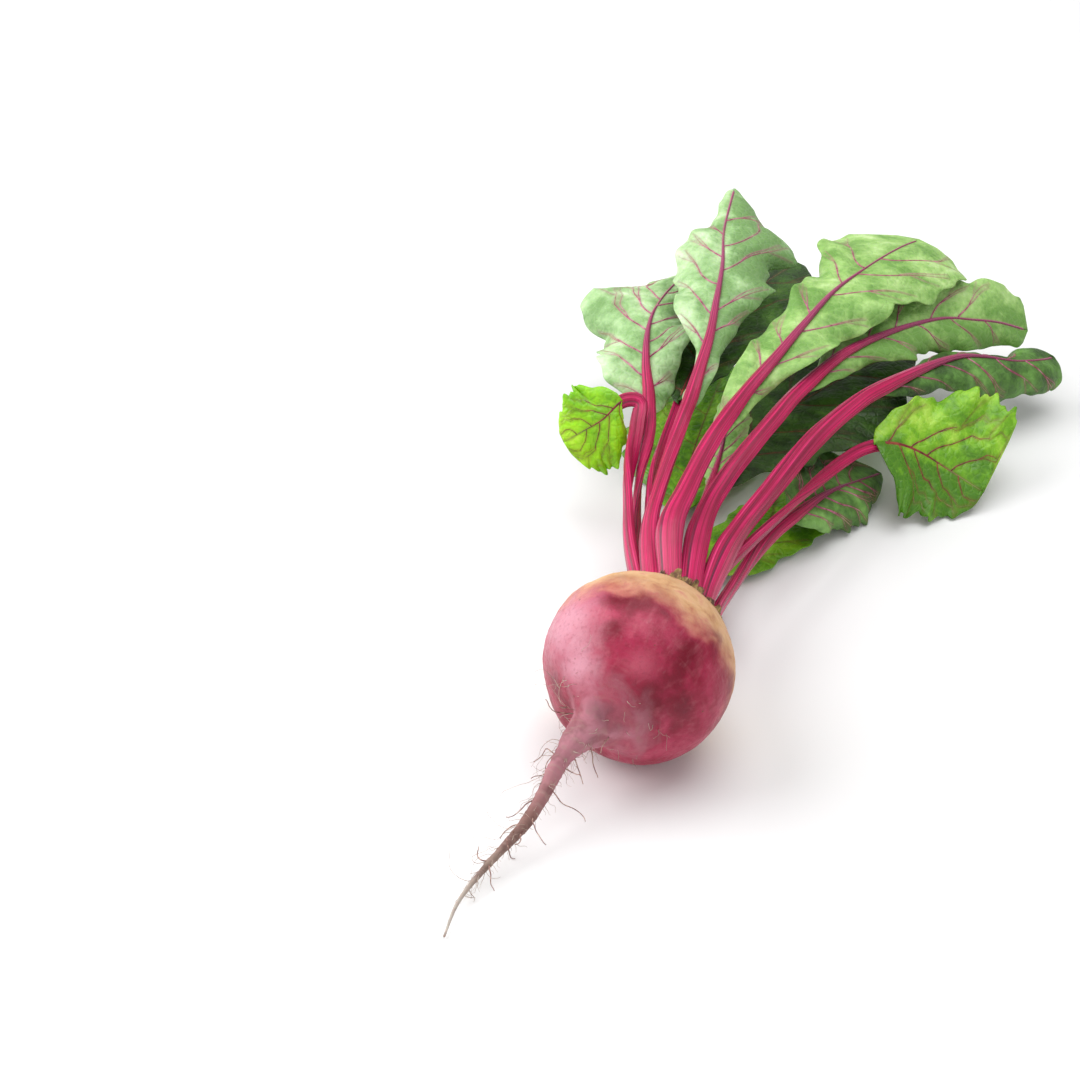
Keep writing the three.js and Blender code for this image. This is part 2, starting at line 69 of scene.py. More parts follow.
# The root: a round body with a flattened crown, drawn out into a long tail that bends down on to the floor. Its
# outline is spun round the Y axis, bent along its line, and given the bulges, furrows and wrinkles of such a root.
CROWN_Y = 0.035
AXIS_HEIGHT = 0.0333
CROWN_TOP = [(0, 0.0366), (0.006, 0.0364), (0.0105, 0.036), (0.0135, 0.0353)]
ROOT_OUTLINE = CROWN_TOP + [
    (0.0158, 0.0345),
    (0.0178, 0.0331),
    (0.0202, 0.03),
    (0.0256, 0.024),
    (0.0306, 0.016),
    (0.0337, 0.006),
    (0.0339, -0.004),
    (0.0312, -0.014),
    (0.026, -0.022),
    (0.0196, -0.028),
    (0.013, -0.032),
    (0.0084, -0.035),
    (0.0058, -0.04),
]
TAIL_START = 0.04
TAIL_RADII = [0.0056, 0.0037, 0.0029, 0.0025, 0.0022, 0.0019, 0.00155, 0.0012, 0.0009, 0.0007, 0.0005, 0.0004]
ROOT_LINE = [
    (0, 0.035, 0.0333),
    (0, 0.01, 0.0333),
    (0, -0.014, 0.0333),
    (-0.0015, -0.03, 0.0325),
    (-0.006, -0.04, 0.0285),
    (-0.009, -0.047, 0.023),
    (-0.0105, -0.06, 0.015),
    (-0.0125, -0.069, 0.0105),
    (-0.016, -0.08, 0.007),
    (-0.019, -0.093, 0.0042),
    (-0.02, -0.104, 0.0026),
    (-0.018, -0.117, 0.001),
]
TAIL_POINT = 0.0003
BODY_RINGS = 110
TAIL_RINGS = 110
ROOT_SIDES = 190
LINE_SPANS = 60  # steps between two points of a line
MERGE = 1e-6


def smooth_list(values, place):
    """A list of sizes or points, read smoothly at places between its entries, 0 being the first."""
    values = np.asarray(values, float)
    place = np.clip(place, 0, len(values) - 1)
    low = np.minimum(place.astype(int), len(values) - 2)
    part = (place - low).reshape(place.shape + (1,) * (values.ndim - 1))
    before, start, end, after = (values[np.clip(low + k, 0, len(values) - 1)] for k in (-1, 0, 1, 2))
    rise_in = (end - before) / 2
    rise_out = (after - start) / 2
    cubed = (2 * (start - end) + rise_in + rise_out) * part**3
    return cubed + (3 * (end - start) - 2 * rise_in - rise_out) * part**2 + rise_in * part + start


def smooth_line(points):
    """A smooth line through the points: the distance along it, and the place, of many steps."""
    points = np.asarray(points, float)
    padded = np.vstack((2 * points[0] - points[1], points, 2 * points[-1] - points[-2]))
    places = smooth_list(padded, 1 + np.linspace(0, len(points) - 1, (len(points) - 1) * LINE_SPANS + 1))
    steps = np.linalg.norm(np.diff(places, axis=0), axis=1)
    return np.concatenate(([0], np.cumsum(steps))), places


def on_line(line, distance):
    """The places on a line at distances along it, and its direction there. It runs on straight past its ends."""
    lengths, places = line
    reach = 3e-4
    held = np.clip(distance, reach, lengths[-1] - reach)
    read = lambda at: np.stack([np.interp(at, lengths, places[:, k]) for k in range(3)], -1)
    ahead = unit(read(held + reach) - read(held - reach))
    within = np.clip(distance, 0, lengths[-1])
    return read(within) + ahead * (distance - within)[..., None], ahead


def unit(vectors):
    """The vectors at length 1."""
    return vectors / np.linalg.norm(vectors, axis=-1, keepdims=True)


def ease(value, low, high):
    """0 below low, 1 above high, and a smooth step between."""
    share = np.clip((value - low) / (high - low), 0, 1)
    return share * share * (3 - 2 * share)


def roughened(points, size, octaves=3, seed=0):
    """Natural unevenness from about -1 to 1 at each point, with features of the given size."""
    shift = Vector((seed * 13.7, seed * 5.1, seed * 9.3))
    return np.array([noise.fractal(Vector(p) / size + shift, 0.8, 2.1, octaves) for p in points])


def only(piece):
    """Selects this piece alone."""
    bpy.ops.object.select_all(action="DESELECT")
    piece.select_set(True)
    bpy.context.view_layer.objects.active = piece


def places_of(piece):
    """The places of a piece's points, one row each."""
    places = np.empty(len(piece.data.vertices) * 3)
    piece.data.vertices.foreach_get("co", places)
    return places.reshape(-1, 3)


def move_to(piece, places):
    """Moves a piece's points to the places."""
    piece.data.vertices.foreach_set("co", np.ascontiguousarray(places, float).ravel())
    piece.data.update()


def weld(piece):
    """Merges the points that lie together, and turns the faces outwards."""
    only(piece)
    bpy.ops.object.mode_set(mode="EDIT")
    bpy.ops.mesh.select_all(action="SELECT")
    bpy.ops.mesh.remove_doubles(threshold=MERGE)
    bpy.ops.mesh.normals_make_consistent(inside=False)
    bpy.ops.object.mode_set(mode="OBJECT")


def settle(piece, material=None):
    """Finishes a piece: smooth shading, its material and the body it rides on."""
    only(piece)
    bpy.ops.object.shade_smooth()
    if material:
        piece.data.materials.append(material)
    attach(piece, "root")


# The root's unevenness. BULGE, SMALL_BULGE, FURROW, TAIL_KNOTS and TAIL_RIDGES are shares of its radius, the rest
# are metres.
BULGE = 0.014
SMALL_BULGE = 0.012
FURROW = 0.1
LUMPS = 0.00032
GRAIN = 0.00009
CORK = 0.00028
WRINKLES = 0.00013
WRINKLE_SPACING = 0.0019
TAIL_KNOTS = 0.12
TAIL_RIDGES = 0.03
TAIL_RIDGE_SPACING = 0.0027
root_line = smooth_line(ROOT_LINE)
LINE_LENGTH = root_line[0][-1]
TAIL_LENGTH = LINE_LENGTH - CROWN_Y - TAIL_START


def on_root_line(distance):
    """Places along the root from its crown, with the directions back along it, across it and up from it."""
    centre, back = on_line(root_line, distance)
    across = unit(np.array((1.0, 0, 0)) - back * back[..., :1])
    return centre, back, across, np.cross(across, back)


def root_swell(angle, y):
    """How far the root strays from round: broad bulges, and the two furrows that side roots grow from."""
    body = 1 - ease(abs(y), 0.02, 0.034)
    bulges = BULGE * np.sin(2 * angle + 0.6) + SMALL_BULGE * np.sin(3 * angle + 2.1 + y * 50)
    low = ease(-y, 0.01, 0.026) * (1 - ease(-y, 0.032, 0.06))
    return 1 + body * bulges - FURROW * low * abs(np.cos(angle)) ** 12


outline = smooth_list(ROOT_OUTLINE, np.linspace(0, len(ROOT_OUTLINE) - 1, BODY_RINGS))
along_tail = np.linspace(0, 1, TAIL_RINGS + 1)[1:]
tail_radii = smooth_list(TAIL_RADII, along_tail * (len(TAIL_RADII) - 1))
profile = [*outline, *zip(tail_radii, -TAIL_START - along_tail * TAIL_LENGTH)]
profile.append((0, -TAIL_START - TAIL_LENGTH - TAIL_POINT))
spine = bpy.data.meshes.new("root_skin")
spine.from_pydata([(r, y, AXIS_HEIGHT) for r, y in profile], [(i, i + 1) for i in range(len(profile) - 1)], [])
root = bpy.data.objects.new("root_skin", spine)
bpy.context.collection.objects.link(root)
only(root)
bpy.ops.object.mode_set(mode="EDIT")
bpy.ops.mesh.select_all(action="SELECT")
bpy.ops.mesh.spin(steps=ROOT_SIDES, angle=2 * math.pi, center=(0, 0, AXIS_HEIGHT), axis=(0, 1, 0))
bpy.ops.object.mode_set(mode="OBJECT")
weld(root)

straight = places_of(root)
x, y, z = straight[:, 0], straight[:, 1], straight[:, 2] - AXIS_HEIGHT
angle = np.arctan2(z, x)
radius = np.hypot(x, z)
wander = roughened(straight, 0.012, 2, 3)
tail = ease(-y, 0.032, 0.042)
lift = LUMPS * roughened(straight, 0.013) * (1 - tail) + GRAIN * roughened(straight, 0.0024, 2, 1) * (1 - tail)
lift += CORK * roughened(straight, 0.0032, 3, 2) * ease(y, 0.017, 0.031)
near_tail = ease(-y, 0.015, 0.026) * (1 - tail)
lift += WRINKLES * near_tail * np.sin(2 * math.pi * (y + 0.0011 * wander) / WRINKLE_SPACING)
knots = TAIL_KNOTS * roughened(straight * (0.7, 1, 0.7), 0.0042, 3, 4)
knots += TAIL_RIDGES * np.sin(2 * math.pi * (y + 0.0012 * wander) / TAIL_RIDGE_SPACING)
lift += radius * knots * ease(-y, 0.034, 0.046)
swollen = root_swell(angle, y) + lift / np.maximum(radius, 1e-4)
centre, back, across, up = on_root_line(CROWN_Y - y)
bent = centre + across * (x * swollen)[:, None] + up * (z * swollen)[:, None]
bent[:, 2] = np.maximum(bent[:, 2], 0)
move_to(root, bent)


def paint(red, green, blue):
    """A colour as seen on screen, from 0 to 255, as the shader wants it."""
    shares = np.array((red, green, blue)) / 255
    linear = np.where(shares > 0.04045, ((shares + 0.055) / 1.055) ** 2.4, shares / 12.92)
    return (*linear.tolist(), 1.0)


class Finish:
    """A material and the few nodes that it is built from."""

    def __init__(self, name, roughness, **sockets):
        self.material = bpy.data.materials.new(name)
        self.material.use_nodes = True
        self.tree = self.material.node_tree
        self.shader = self.tree.nodes["Principled BSDF"]
        self.shader.inputs["Roughness"].default_value = roughness
        for socket, value in sockets.items():
            self.shader.inputs[socket.replace("_", " ")].default_value = value

    def add(self, kind, inputs, **settings):
        """A node of a kind, with its inputs linked or set."""
        node = self.tree.nodes.new("ShaderNode" + kind)
        for name, value in settings.items():
            setattr(node, name, value)
        for socket, value in inputs.items():
            if isinstance(value, bpy.types.NodeSocket):
                self.tree.links.new(value, node.inputs[socket])
            else:
                node.inputs[socket].default_value = value
        return node

    def coords(self, kind="Object", scale=(1, 1, 1)):
        source = self.add("TexCoord", {}).outputs[kind]
        return self.add("Mapping", {"Vector": source, "Scale": scale}).outputs[0]

    def split(self, vector):
        return self.add("SeparateXYZ", {"Vector": vector}).outputs

    def uneven(self, vector, size, detail=4, distortion=0.0):
        """Noise from 0 to 1 with features of the given size."""
        inputs = {"Vector": vector, "Scale": 1 / size, "Detail": detail, "Distortion": distortion}
        return self.add("TexNoise", inputs).outputs[0]

    def cells(self, vector, size, feature="DISTANCE_TO_EDGE"):
        return self.add("TexVoronoi", {"Vector": vector, "Scale": 1 / size}, feature=feature).outputs["Distance"]

    def share(self, value, low, high, start=0.0, end=1.0):
        """The value carried over smoothly from low..high to start..end."""
        inputs = {"Value": value, "From Min": low, "From Max": high, "To Min": start, "To Max": end}
        return self.add("MapRange", inputs, interpolation_type="SMOOTHSTEP").outputs[0]

    def sums(self, how, first, second):
        return self.add("Math", {0: first, 1: second}, operation=how).outputs[0]

    def plus(self, first, second):
        return self.sums("ADD", first, second)

    def times(self, first, second):
        return self.sums("MULTIPLY", first, second)

    def blend(self, share, first, second):
        """The first colour, with a share of the second laid over it."""
        return self.add("Mix", {0: share, 6: first, 7: second}, data_type="RGBA").outputs[2]

    def ramp(self, value, stops):
        node = self.add("ValToRGB", {0: value})
        while len(node.color_ramp.elements) < len(stops):
            node.color_ramp.elements.new(0.5)
        for element, (position, tint) in zip(node.color_ramp.elements, stops):
            element.position = position
            element.color = tint
        return node.outputs[0]

    def bump(self, height, distance, strength, under=None):
        inputs = {"Height": height, "Distance": distance, "Strength": strength}
        if under:
            inputs["Normal"] = under
        return self.add("Bump", inputs).outputs[0]

    def wear(self, tint, roughness=None, normal=None):
        """Gives the shader its colour, roughness and fine relief."""
        self.tree.links.new(tint, self.shader.inputs["Base Color"])
        if roughness:
            self.tree.links.new(roughness, self.shader.inputs["Roughness"])
        if normal:
            self.tree.links.new(normal, self.shader.inputs["Normal"])
        return self.material


# The skin: dark red with paler streaks, tan and corky towards the crown, grey-brown and ringed along the tail.
skin = Finish("beet_skin", 0.4, Subsurface_Weight=0.05, Subsurface_Scale=0.004, Specular_IOR_Level=0.32)
skin.shader.inputs["Subsurface Radius"].default_value = (1.0, 0.3, 0.2)
spot = skin.coords()
place_y = skin.split(spot)[1]
broad = skin.uneven(spot, 0.03, 3, 0.4)
patchy = skin.uneven(spot, 0.009, 5, 0.3)
fine = skin.uneven(spot, 0.0016, 5)
streaked = skin.uneven(skin.coords(scale=(1, 0.16, 1)), 0.003, 4)
girth = skin.uneven(skin.coords(scale=(0.2, 1, 0.2)), 0.0022, 4)
ringed = skin.uneven(skin.coords(scale=(0.25, 1, 0.25)), 0.0013, 3)
clouded = skin.plus(skin.times(broad, 0.55), skin.times(patchy, 0.45))
skin_red = skin.ramp(clouded, [
    (0.32, paint(100, 6, 34)),
    (0.44, paint(142, 20, 52)),
    (0.55, paint(166, 40, 74)),
    (0.68, paint(188, 74, 100)),
])

# Patches of the skin, each the place of its middle and its size: the pale cheeks of the left side, paler skin
# with the lamp's sheen painted in, a rosy band, dark blotches, and the torn skin beside the tail. How ragged their
# edges are is a share of their size.
PALE_SKIN_AND_SHEEN_PATCHES = [((-0.0215, -0.013, 0.0555), 0.023), ((-0.0105, -0.0275, 0.0505), 0.014)]
ROSY_BAND = ((0.0103, -0.0234, 0.0559), 0.009)
DARK_BLOTCHES = [
    ((0.0003, -0.0055, 0.067), 0.0095),
    ((-0.0065, -0.0066, 0.0662), 0.007),
    ((-0.0008, -0.0168, 0.063), 0.0065),
    ((0.0225, -0.0109, 0.0565), 0.012),
    ((0.018, -0.0268, 0.0439), 0.015),
]
TORN_PATCH = ((0.0045, -0.0325, 0.0405), 0.009)
RAGGED = 0.22
HARDLY_RAGGED = 0.1


def patch(middle, size, strength, raggedness=RAGGED):
    """How strongly a patch of the skin shows at each place."""
    away = skin.add("VectorMath", {0: spot, 1: middle}, operation="DISTANCE").outputs["Value"]
    ragged = skin.plus(away, skin.share(patchy, 0.3, 0.7, -size * raggedness, size * raggedness))
    return skin.share(ragged, size, 0, 0, strength)


# Painted sheen: the pale cheeks are paler skin with the lamp's sheen painted in as pale pink.
for middle, size in PALE_SKIN_AND_SHEEN_PATCHES:
    skin_red = skin.blend(patch(middle, size, 0.82, HARDLY_RAGGED), skin_red, paint(214, 152, 168))
skin_red = skin.blend(patch(*ROSY_BAND, 0.5), skin_red, paint(206, 104, 124))
for middle, size in DARK_BLOTCHES:
    skin_red = skin.blend(patch(middle, size, 0.85), skin_red, paint(108, 0, 28))
skin_red = skin.blend(skin.share(streaked, 0.5, 0.75, 0, 0.15), skin_red, paint(206, 122, 132))
skin_red = skin.blend(skin.share(girth, 0.55, 0.72, 0, 0.06), skin_red, paint(208, 140, 142))
scratches = skin.uneven(skin.coords(scale=(1, 0.12, 1)), 0.0024, 2)
scratched = skin.share(scratches, 0.62, 0.8, 0, 0.2)
scratched = skin.times(scratched, skin.share(place_y, -0.02, 0.0, 0.4, 1))
skin_red = skin.blend(scratched, skin_red, paint(216, 158, 166))
skin_red = skin.blend(skin.share(fine, 0.5, 0.72, 0, 0.25), skin_red, paint(118, 28, 46))
shoulder_edge = skin.plus(place_y, skin.share(patchy, 0.3, 0.7, -0.003, 0.003))
shoulder_edge = skin.plus(shoulder_edge, skin.share(broad, 0.3, 0.7, -0.003, 0.003))
shoulder = skin.share(shoulder_edge, -0.005, 0.012)
tan = skin.ramp(skin.uneven(spot, 0.006, 5, 0.5), [
    (0.3, paint(188, 136, 98)),
    (0.42, paint(210, 166, 118)),
    (0.58, paint(222, 182, 136)),
    (0.74, paint(212, 150, 124)),
])
tinted = skin.blend(skin.times(shoulder, 0.9), skin_red, tan)
crown_brown = skin.ramp(fine, [
    (0.35, paint(74, 44, 34)),
    (0.5, paint(128, 86, 58)),
    (0.65, paint(150, 118, 70)),
])
tinted = skin.blend(skin.share(shoulder_edge, 0.026, 0.034), tinted, crown_brown)
tail_tint = skin.ramp(skin.share(place_y, -0.117, -0.034), [
    (0.0, paint(190, 182, 172)),
    (0.3, paint(146, 126, 114)),
    (0.68, paint(136, 98, 92)),
    (1.0, paint(188, 124, 138)),
])
tail_tint = skin.blend(skin.share(patchy, 0.42, 0.6, 0, 0.5), tail_tint, paint(92, 62, 56))
tail_tint = skin.blend(skin.share(ringed, 0.5, 0.68, 0, 0.35), tail_tint, paint(168, 142, 132))
tail_edge = skin.plus(place_y, skin.share(patchy, 0.3, 0.7, -0.0025, 0.0025))
tinted = skin.blend(skin.share(tail_edge, -0.026, -0.042), tinted, tail_tint)
scurf = skin.times(skin.share(tail_edge, -0.023, -0.032), skin.share(girth, 0.5, 0.66, 0, 0.12))
tinted = skin.blend(scurf, tinted, paint(158, 112, 118))
tinted = skin.blend(patch(*TORN_PATCH, 0.9), tinted, paint(78, 30, 38))
specks = skin.share(skin.cells(spot, 0.006, "F1"), 0.1, 0.03)
specks = skin.times(specks, skin.share(patchy, 0.5, 0.6))
tinted = skin.blend(specks, tinted, paint(96, 60, 44))
dull = skin.plus(skin.share(fine, 0.3, 0.7, 0.34, 0.46), skin.times(shoulder, 0.2))
dull = skin.plus(dull, skin.share(tail_edge, -0.02, -0.036, 0, 0.3))
relief = skin.bump(skin.plus(skin.times(ringed, 0.6), fine), 0.0004, 0.4)
relief = skin.bump(skin.uneven(spot, 0.0006, 3), 0.0001, 0.5, relief)
settle(root, skin.wear(tinted, dull, relief))
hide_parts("root")

# The side rootlets and the fine root hairs, which grow out of the two furrows of the root and all along the tail.
# Each is one slim taper that wanders as it grows, thicker where it leaves the root.
ROOTLET_COUNT = 18
ROOTLET_FIRST = 0.027  # distances below the crown
ROOTLET_SPREAD = 0.073
BULB_END = 0.036
ROOTLET_LENGTHS = (0.0096, 0.0192)
BULB_ROOTLET_LENGTHS = (0.0108, 0.0192)
ROOTLET_RADII = (0.000231, 0.000357)
ROOTLET_TIP = 0.00014
HAIR_COUNT = 150
HAIR_FIRST = 0.025
HAIR_SPREAD = 0.085
HAIR_LENGTHS = (0.002, 0.007)
LONG_HAIR_EXTRA = (0.006, 0.018)
LONG_HAIR_EVERY = 6
HAIR_WIDTH = 0.0001
FLOOR_GAP = 0.0002
DRIFT_KEPT = 0.6
CURL_STRENGTH = 5
TAPER_POWER = 1.3


def seeded(seed):
    """A small repeatable random number generator."""
    state = seed

    def draw(low, high):
        nonlocal state
        state = (state * 1664525 + 1013904223) % 4294967296
        return low + (high - low) * state / 4294967296

    return draw


def tube_points(places, across, out, widths, depths, sides):
    """Rings of points round a line. across and out are the directions of each ring's width and depth."""
    angles = np.arange(sides) / sides * 2 * math.pi
    rings = across[:, None] * (np.sin(angles)[:, None] * widths[:, None, None] / 2)
    rings = rings + out[:, None] * (np.cos(angles)[:, None] * depths[:, None, None] / 2)
    return places[:, None] + rings


def join_tubes(name, tubes):
    """One mesh of many closed tubes, each given as its rings of points, with UVs round and along each."""
    points, faces, corners = [], [], []
    for rings in tubes:
        count, sides = rings.shape[:2]
        start = sum(len(part) for part in points)
        points.append(rings.reshape(-1, 3))
        points.append(np.array([rings[0].mean(0), rings[-1].mean(0)]))
        first, last = start + count * sides, start + count * sides + 1
        for i in range(count - 1):
            for j in range(sides):
                a, b = start + i * sides + j, start + i * sides + (j + 1) % sides
                faces.append((a, b, b + sides, a + sides))
                low, high = i / (count - 1), (i + 1) / (count - 1)
                corners += [(j / sides, low), ((j + 1) / sides, low), ((j + 1) / sides, high), (j / sides, high)]
        for j in range(sides):
            after = (j + 1) % sides
            faces.append((start + after, start + j, first))
            corners += [((j + 1) / sides, 0), (j / sides, 0), ((j + 0.5) / sides, 0)]
            faces.append((start + (count - 1) * sides + j, start + (count - 1) * sides + after, last))
            corners += [(j / sides, 1), ((j + 1) / sides, 1), ((j + 0.5) / sides, 1)]
    mesh = bpy.data.meshes.new(name)
    mesh.from_pydata(np.vstack(points).tolist(), [], faces)
    mesh.uv_layers.new(name="UVMap").data.foreach_set("uv", np.array(corners, float).ravel())
    piece = bpy.data.objects.new(name, mesh)
    bpy.context.collection.objects.link(piece)
    weld(piece)
    return piece


def grown_taper(start, heading, length, radius, tip, curl, steps, sides, wander, draw):
    """A root that sets off along its heading and wanders, kept just clear of the floor."""
    point, direction = np.array(start, float), unit(np.array(heading, float))
    places, ways = [], []
    drift = np.zeros(3)
    for i in range(steps + 1):
        places.append(point.copy())
        ways.append(direction.copy())
        drift = DRIFT_KEPT * drift + wander * np.array((draw(-1, 1), draw(-1, 1), draw(-1, 1)))
        direction = unit(direction + np.array(curl) * CURL_STRENGTH / steps + drift)
        point = point + direction * length / steps
    places, ways = np.array(places), np.array(ways)
    widths = 2 * (tip + (radius - tip) * (1 - np.linspace(0, 1, steps + 1)) ** TAPER_POWER)
    places[:, 2] = np.maximum(places[:, 2], FLOOR_GAP + widths / 2)
    across = unit(np.cross((0.02, 0.01, 1), ways))
    return tube_points(places, across, np.cross(ways, across), widths, widths, sides)


def beside_root(distance, turned):
    """A place on the root's line, and the directions away from it at an angle and back along it."""
    centre, back, across, up = (part[0] for part in on_root_line(np.array([distance])))
    return centre, across * math.cos(turned) + up * math.sin(turned), back


def root_radius(distance):
    """The root's radius at a distance from its crown."""
    behind = distance - CROWN_Y
    if behind > TAIL_START:
        return np.interp(behind - TAIL_START, np.linspace(0, TAIL_LENGTH, len(TAIL_RADII)), TAIL_RADII)
    return np.interp(behind, [-place[1] for place in ROOT_OUTLINE], [place[0] for place in ROOT_OUTLINE])


draw = seeded(11)
wobble = seeded(23)
rootlets = []
for i in range(ROOTLET_COUNT):
    distance = CROWN_Y + ROOTLET_FIRST + ROOTLET_SPREAD * (i / ROOTLET_COUNT) ** 1.1 + draw(-0.002, 0.002)
    turned = (0 if i % 2 else math.pi) + draw(-0.8, 0.8)
    centre, away, back = beside_root(distance, turned)
    heading = away + back * draw(0, 1)
    curl = (draw(-0.25, 0.25), draw(-0.3, 0.1), draw(-0.35, 0.05))
    on_bulb = distance < CROWN_Y + BULB_END
    start = centre + away * (0.007 if on_bulb else 0.0003)
    length = draw(*(BULB_ROOTLET_LENGTHS if on_bulb else ROOTLET_LENGTHS))
    thick = draw(*ROOTLET_RADII)
    rootlets.append(grown_taper(start, heading, length, thick, ROOTLET_TIP, curl, 16, 7, 0.2, wobble))

hair = seeded(41)
hairs = []
for i in range(HAIR_COUNT):
    share = i / HAIR_COUNT
    distance = CROWN_Y + HAIR_FIRST + HAIR_SPREAD * share**1.4 + hair(-0.004, 0.004)
    turned = (0 if i % 2 else math.pi) + hair(-1.1, 1.1)
    centre, away, back = beside_root(distance, turned)
    start = centre + away * root_radius(distance) * 0.93
    heading = away + back * hair(-0.2, 1.4)
    curl = (hair(-0.3, 0.3), hair(-0.5, 0.3), hair(-0.6, 0.1))
    length = hair(*HAIR_LENGTHS)
    if i % LONG_HAIR_EVERY == 0:
        length += hair(*LONG_HAIR_EXTRA)
    thick = HAIR_WIDTH * hair(0.8, 1.6)
    hairs.append(grown_taper(start, heading, length, thick, HAIR_WIDTH / 2, curl, 14, 3, 0.32, hair))

root_brown = Finish("rootlet_skin", 0.75)
fibre = root_brown.uneven(root_brown.coords(), 0.0021, 4)
bark = root_brown.ramp(fibre, [
    (0.3, paint(92, 54, 52)),
    (0.48, paint(140, 100, 92)),
    (0.62, paint(180, 150, 136)),
    (0.75, paint(206, 186, 168)),
])
root_brown.wear(bark, root_brown.share(fibre, 0.3, 0.7, 0.6, 0.85), root_brown.bump(fibre, 0.0003, 0.6))
side_rootlets = join_tubes("side_rootlets", rootlets)
settle(side_rootlets, root_brown.material)
root_hairs = join_tubes("root_hairs", hairs)
hair_skin = Finish("hair_skin", 0.7)
strand = hair_skin.uneven(hair_skin.coords(), 0.004, 3)
hair_tint = hair_skin.ramp(strand, [
    (0.3, paint(132, 104, 96)),
    (0.5, paint(180, 158, 144)),
    (0.7, paint(214, 198, 184)),
])
hair_skin.wear(hair_tint, hair_skin.share(strand, 0.3, 0.7, 0.6, 0.8), hair_skin.bump(strand, 0.0001, 0.4))
settle(root_hairs, hair_skin.material)

# The crown's fringe: the torn stubs of old leaves, with dry brown scales between and over them, where the stalks
# grow out of the top of the root. A stub is modelled once, and so is a scale, and each copy is leant and scaled.
STUB_COUNT = 20
STUB_RING = 0.0156
STUB_SUNK = 0.004
STUB_DEPTH = 0.0026
STUB_NARROWING = 0.45
STUB_HOLLOW = 0.3
TORN_HEIGHT = 0.16
SCALE_COUNT = 84
SCALE_RINGS = (0.0128, 0.0157, 0.0182)
SCALE_SUNK = 0.0009
SCALE_DEPTH = 0.003
SCALE_THICKNESS = 0.00035


def from_grid(name, columns, rows, shape):
    """A grid primitive laid out by a function of its two shares, across from -1 to 1 and along from 0 to 1."""
    bpy.ops.object.select_all(action="DESELECT")
    bpy.ops.mesh.primitive_grid_add(x_subdivisions=columns, y_subdivisions=rows, size=1)
    piece = bpy.context.object
    piece.name = piece.data.name = name
    flat = places_of(piece)
    move_to(piece, shape(flat[:, 0] * 2, flat[:, 1] + 0.5))
    return piece


def copies_joined(model, name, placements):
    """Copies of a model, each with its own mesh, put at their places and joined into one piece."""
    made = []
    for placement in placements:
        copy = bpy.data.objects.new(name, model.data.copy())
        bpy.context.collection.objects.link(copy)
        copy.data.transform(placement)
        made.append(copy)
    bpy.data.objects.remove(model)
    bpy.ops.object.select_all(action="DESELECT")
    for copy in made:
        copy.select_set(True)
    bpy.context.view_layer.objects.active = made[0]
    bpy.ops.object.join()
    made[0].name = made[0].data.name = name
    return made[0]


def thicken(piece, thickness, materials=0):
    """Gives a sheet its thickness, half on each side. Its lower side's material is that many on in its list."""
    only(piece)
    wall = piece.modifiers.new("wall", "SOLIDIFY")
    wall.thickness = thickness
    wall.offset = 0
    wall.material_offset = materials
    bpy.ops.object.modifier_apply(modifier="wall")


def ring_frame(turned, radius, height, lean, twist, size):
    """A place on the crown's rim: local X runs round the rim, Y out of the crown and Z away from its middle."""
    away = Vector((math.cos(turned), 0, math.sin(turned)))
    around = Vector((-math.sin(turned), 0, math.cos(turned)))
    axes = Matrix((around, Vector((0, 1, 0)), away)).transposed().to_4x4()
    leant = Matrix.Rotation(lean, 4, "X") @ Matrix.Rotation(twist, 4, "Y")
    at = Matrix.Translation(Vector((0, height, AXIS_HEIGHT)) + away * radius)
    return at @ axes @ leant @ Matrix.Diagonal((*size, 1))


def flake_shape(across, along):
    """A dry scale: narrowing and curling over towards its tip."""
    narrow = (1 - 0.75 * along**1.6) * (1 + 0.12 * np.sin(9 * along))
    curl = 0.55 * along**2 + 0.25 * (1 - across**2)
    return np.stack((across * narrow / 2, along, -curl * 0.5), -1)


flake = from_grid("crown_scales", 5, 6, flake_shape)
crown_radii, crown_heights = np.array(ROOT_OUTLINE[:9]).T
draw = seeded(7)
places = []
for i in range(SCALE_COUNT):
    turned = (i + draw(-0.4, 0.4)) / SCALE_COUNT * 2 * math.pi * len(SCALE_RINGS)
    radius = SCALE_RINGS[i % len(SCALE_RINGS)] + draw(-0.0009, 0.0009)
    height = float(np.interp(radius, crown_radii, crown_heights)) - SCALE_SUNK
    size = (draw(0.003, 0.0062), draw(0.0026, 0.0052), SCALE_DEPTH)
    places.append(ring_frame(turned, radius, height, draw(-0.3, 0.6), draw(-0.4, 0.4), size))
scales = copies_joined(flake, "crown_scales", places)
thicken(scales, SCALE_THICKNESS)

bpy.ops.object.select_all(action="DESELECT")
bpy.ops.mesh.primitive_cylinder_add(
    vertices=12, radius=0.5, depth=1, end_fill_type="TRIFAN", location=(0, 0, 0.5)
)
stub = bpy.context.object
bpy.ops.object.transform_apply(location=True)
bpy.ops.object.mode_set(mode="EDIT")
for height in (0.4, 0.75):
    bpy.ops.mesh.select_all(action="SELECT")
    bpy.ops.mesh.bisect(plane_co=(0, 0, height), plane_no=(0, 0, 1))
bpy.ops.object.mode_set(mode="OBJECT")
raw = places_of(stub)
narrow = 1 - STUB_NARROWING * raw[:, 2]
on_top = raw[:, 2] > 0.9
from_axis = np.hypot(raw[:, 0], raw[:, 1])
torn = TORN_HEIGHT * np.sin(5 * np.arctan2(raw[:, 1], raw[:, 0]) + 1) * on_top * (from_axis > 0.2)
sunk = STUB_HOLLOW * on_top * (from_axis < 0.2)
move_to(stub, np.stack((raw[:, 0] * narrow, raw[:, 2] + torn - sunk, raw[:, 1] * narrow), -1))
weld(stub)
draw = seeded(5)
places = []
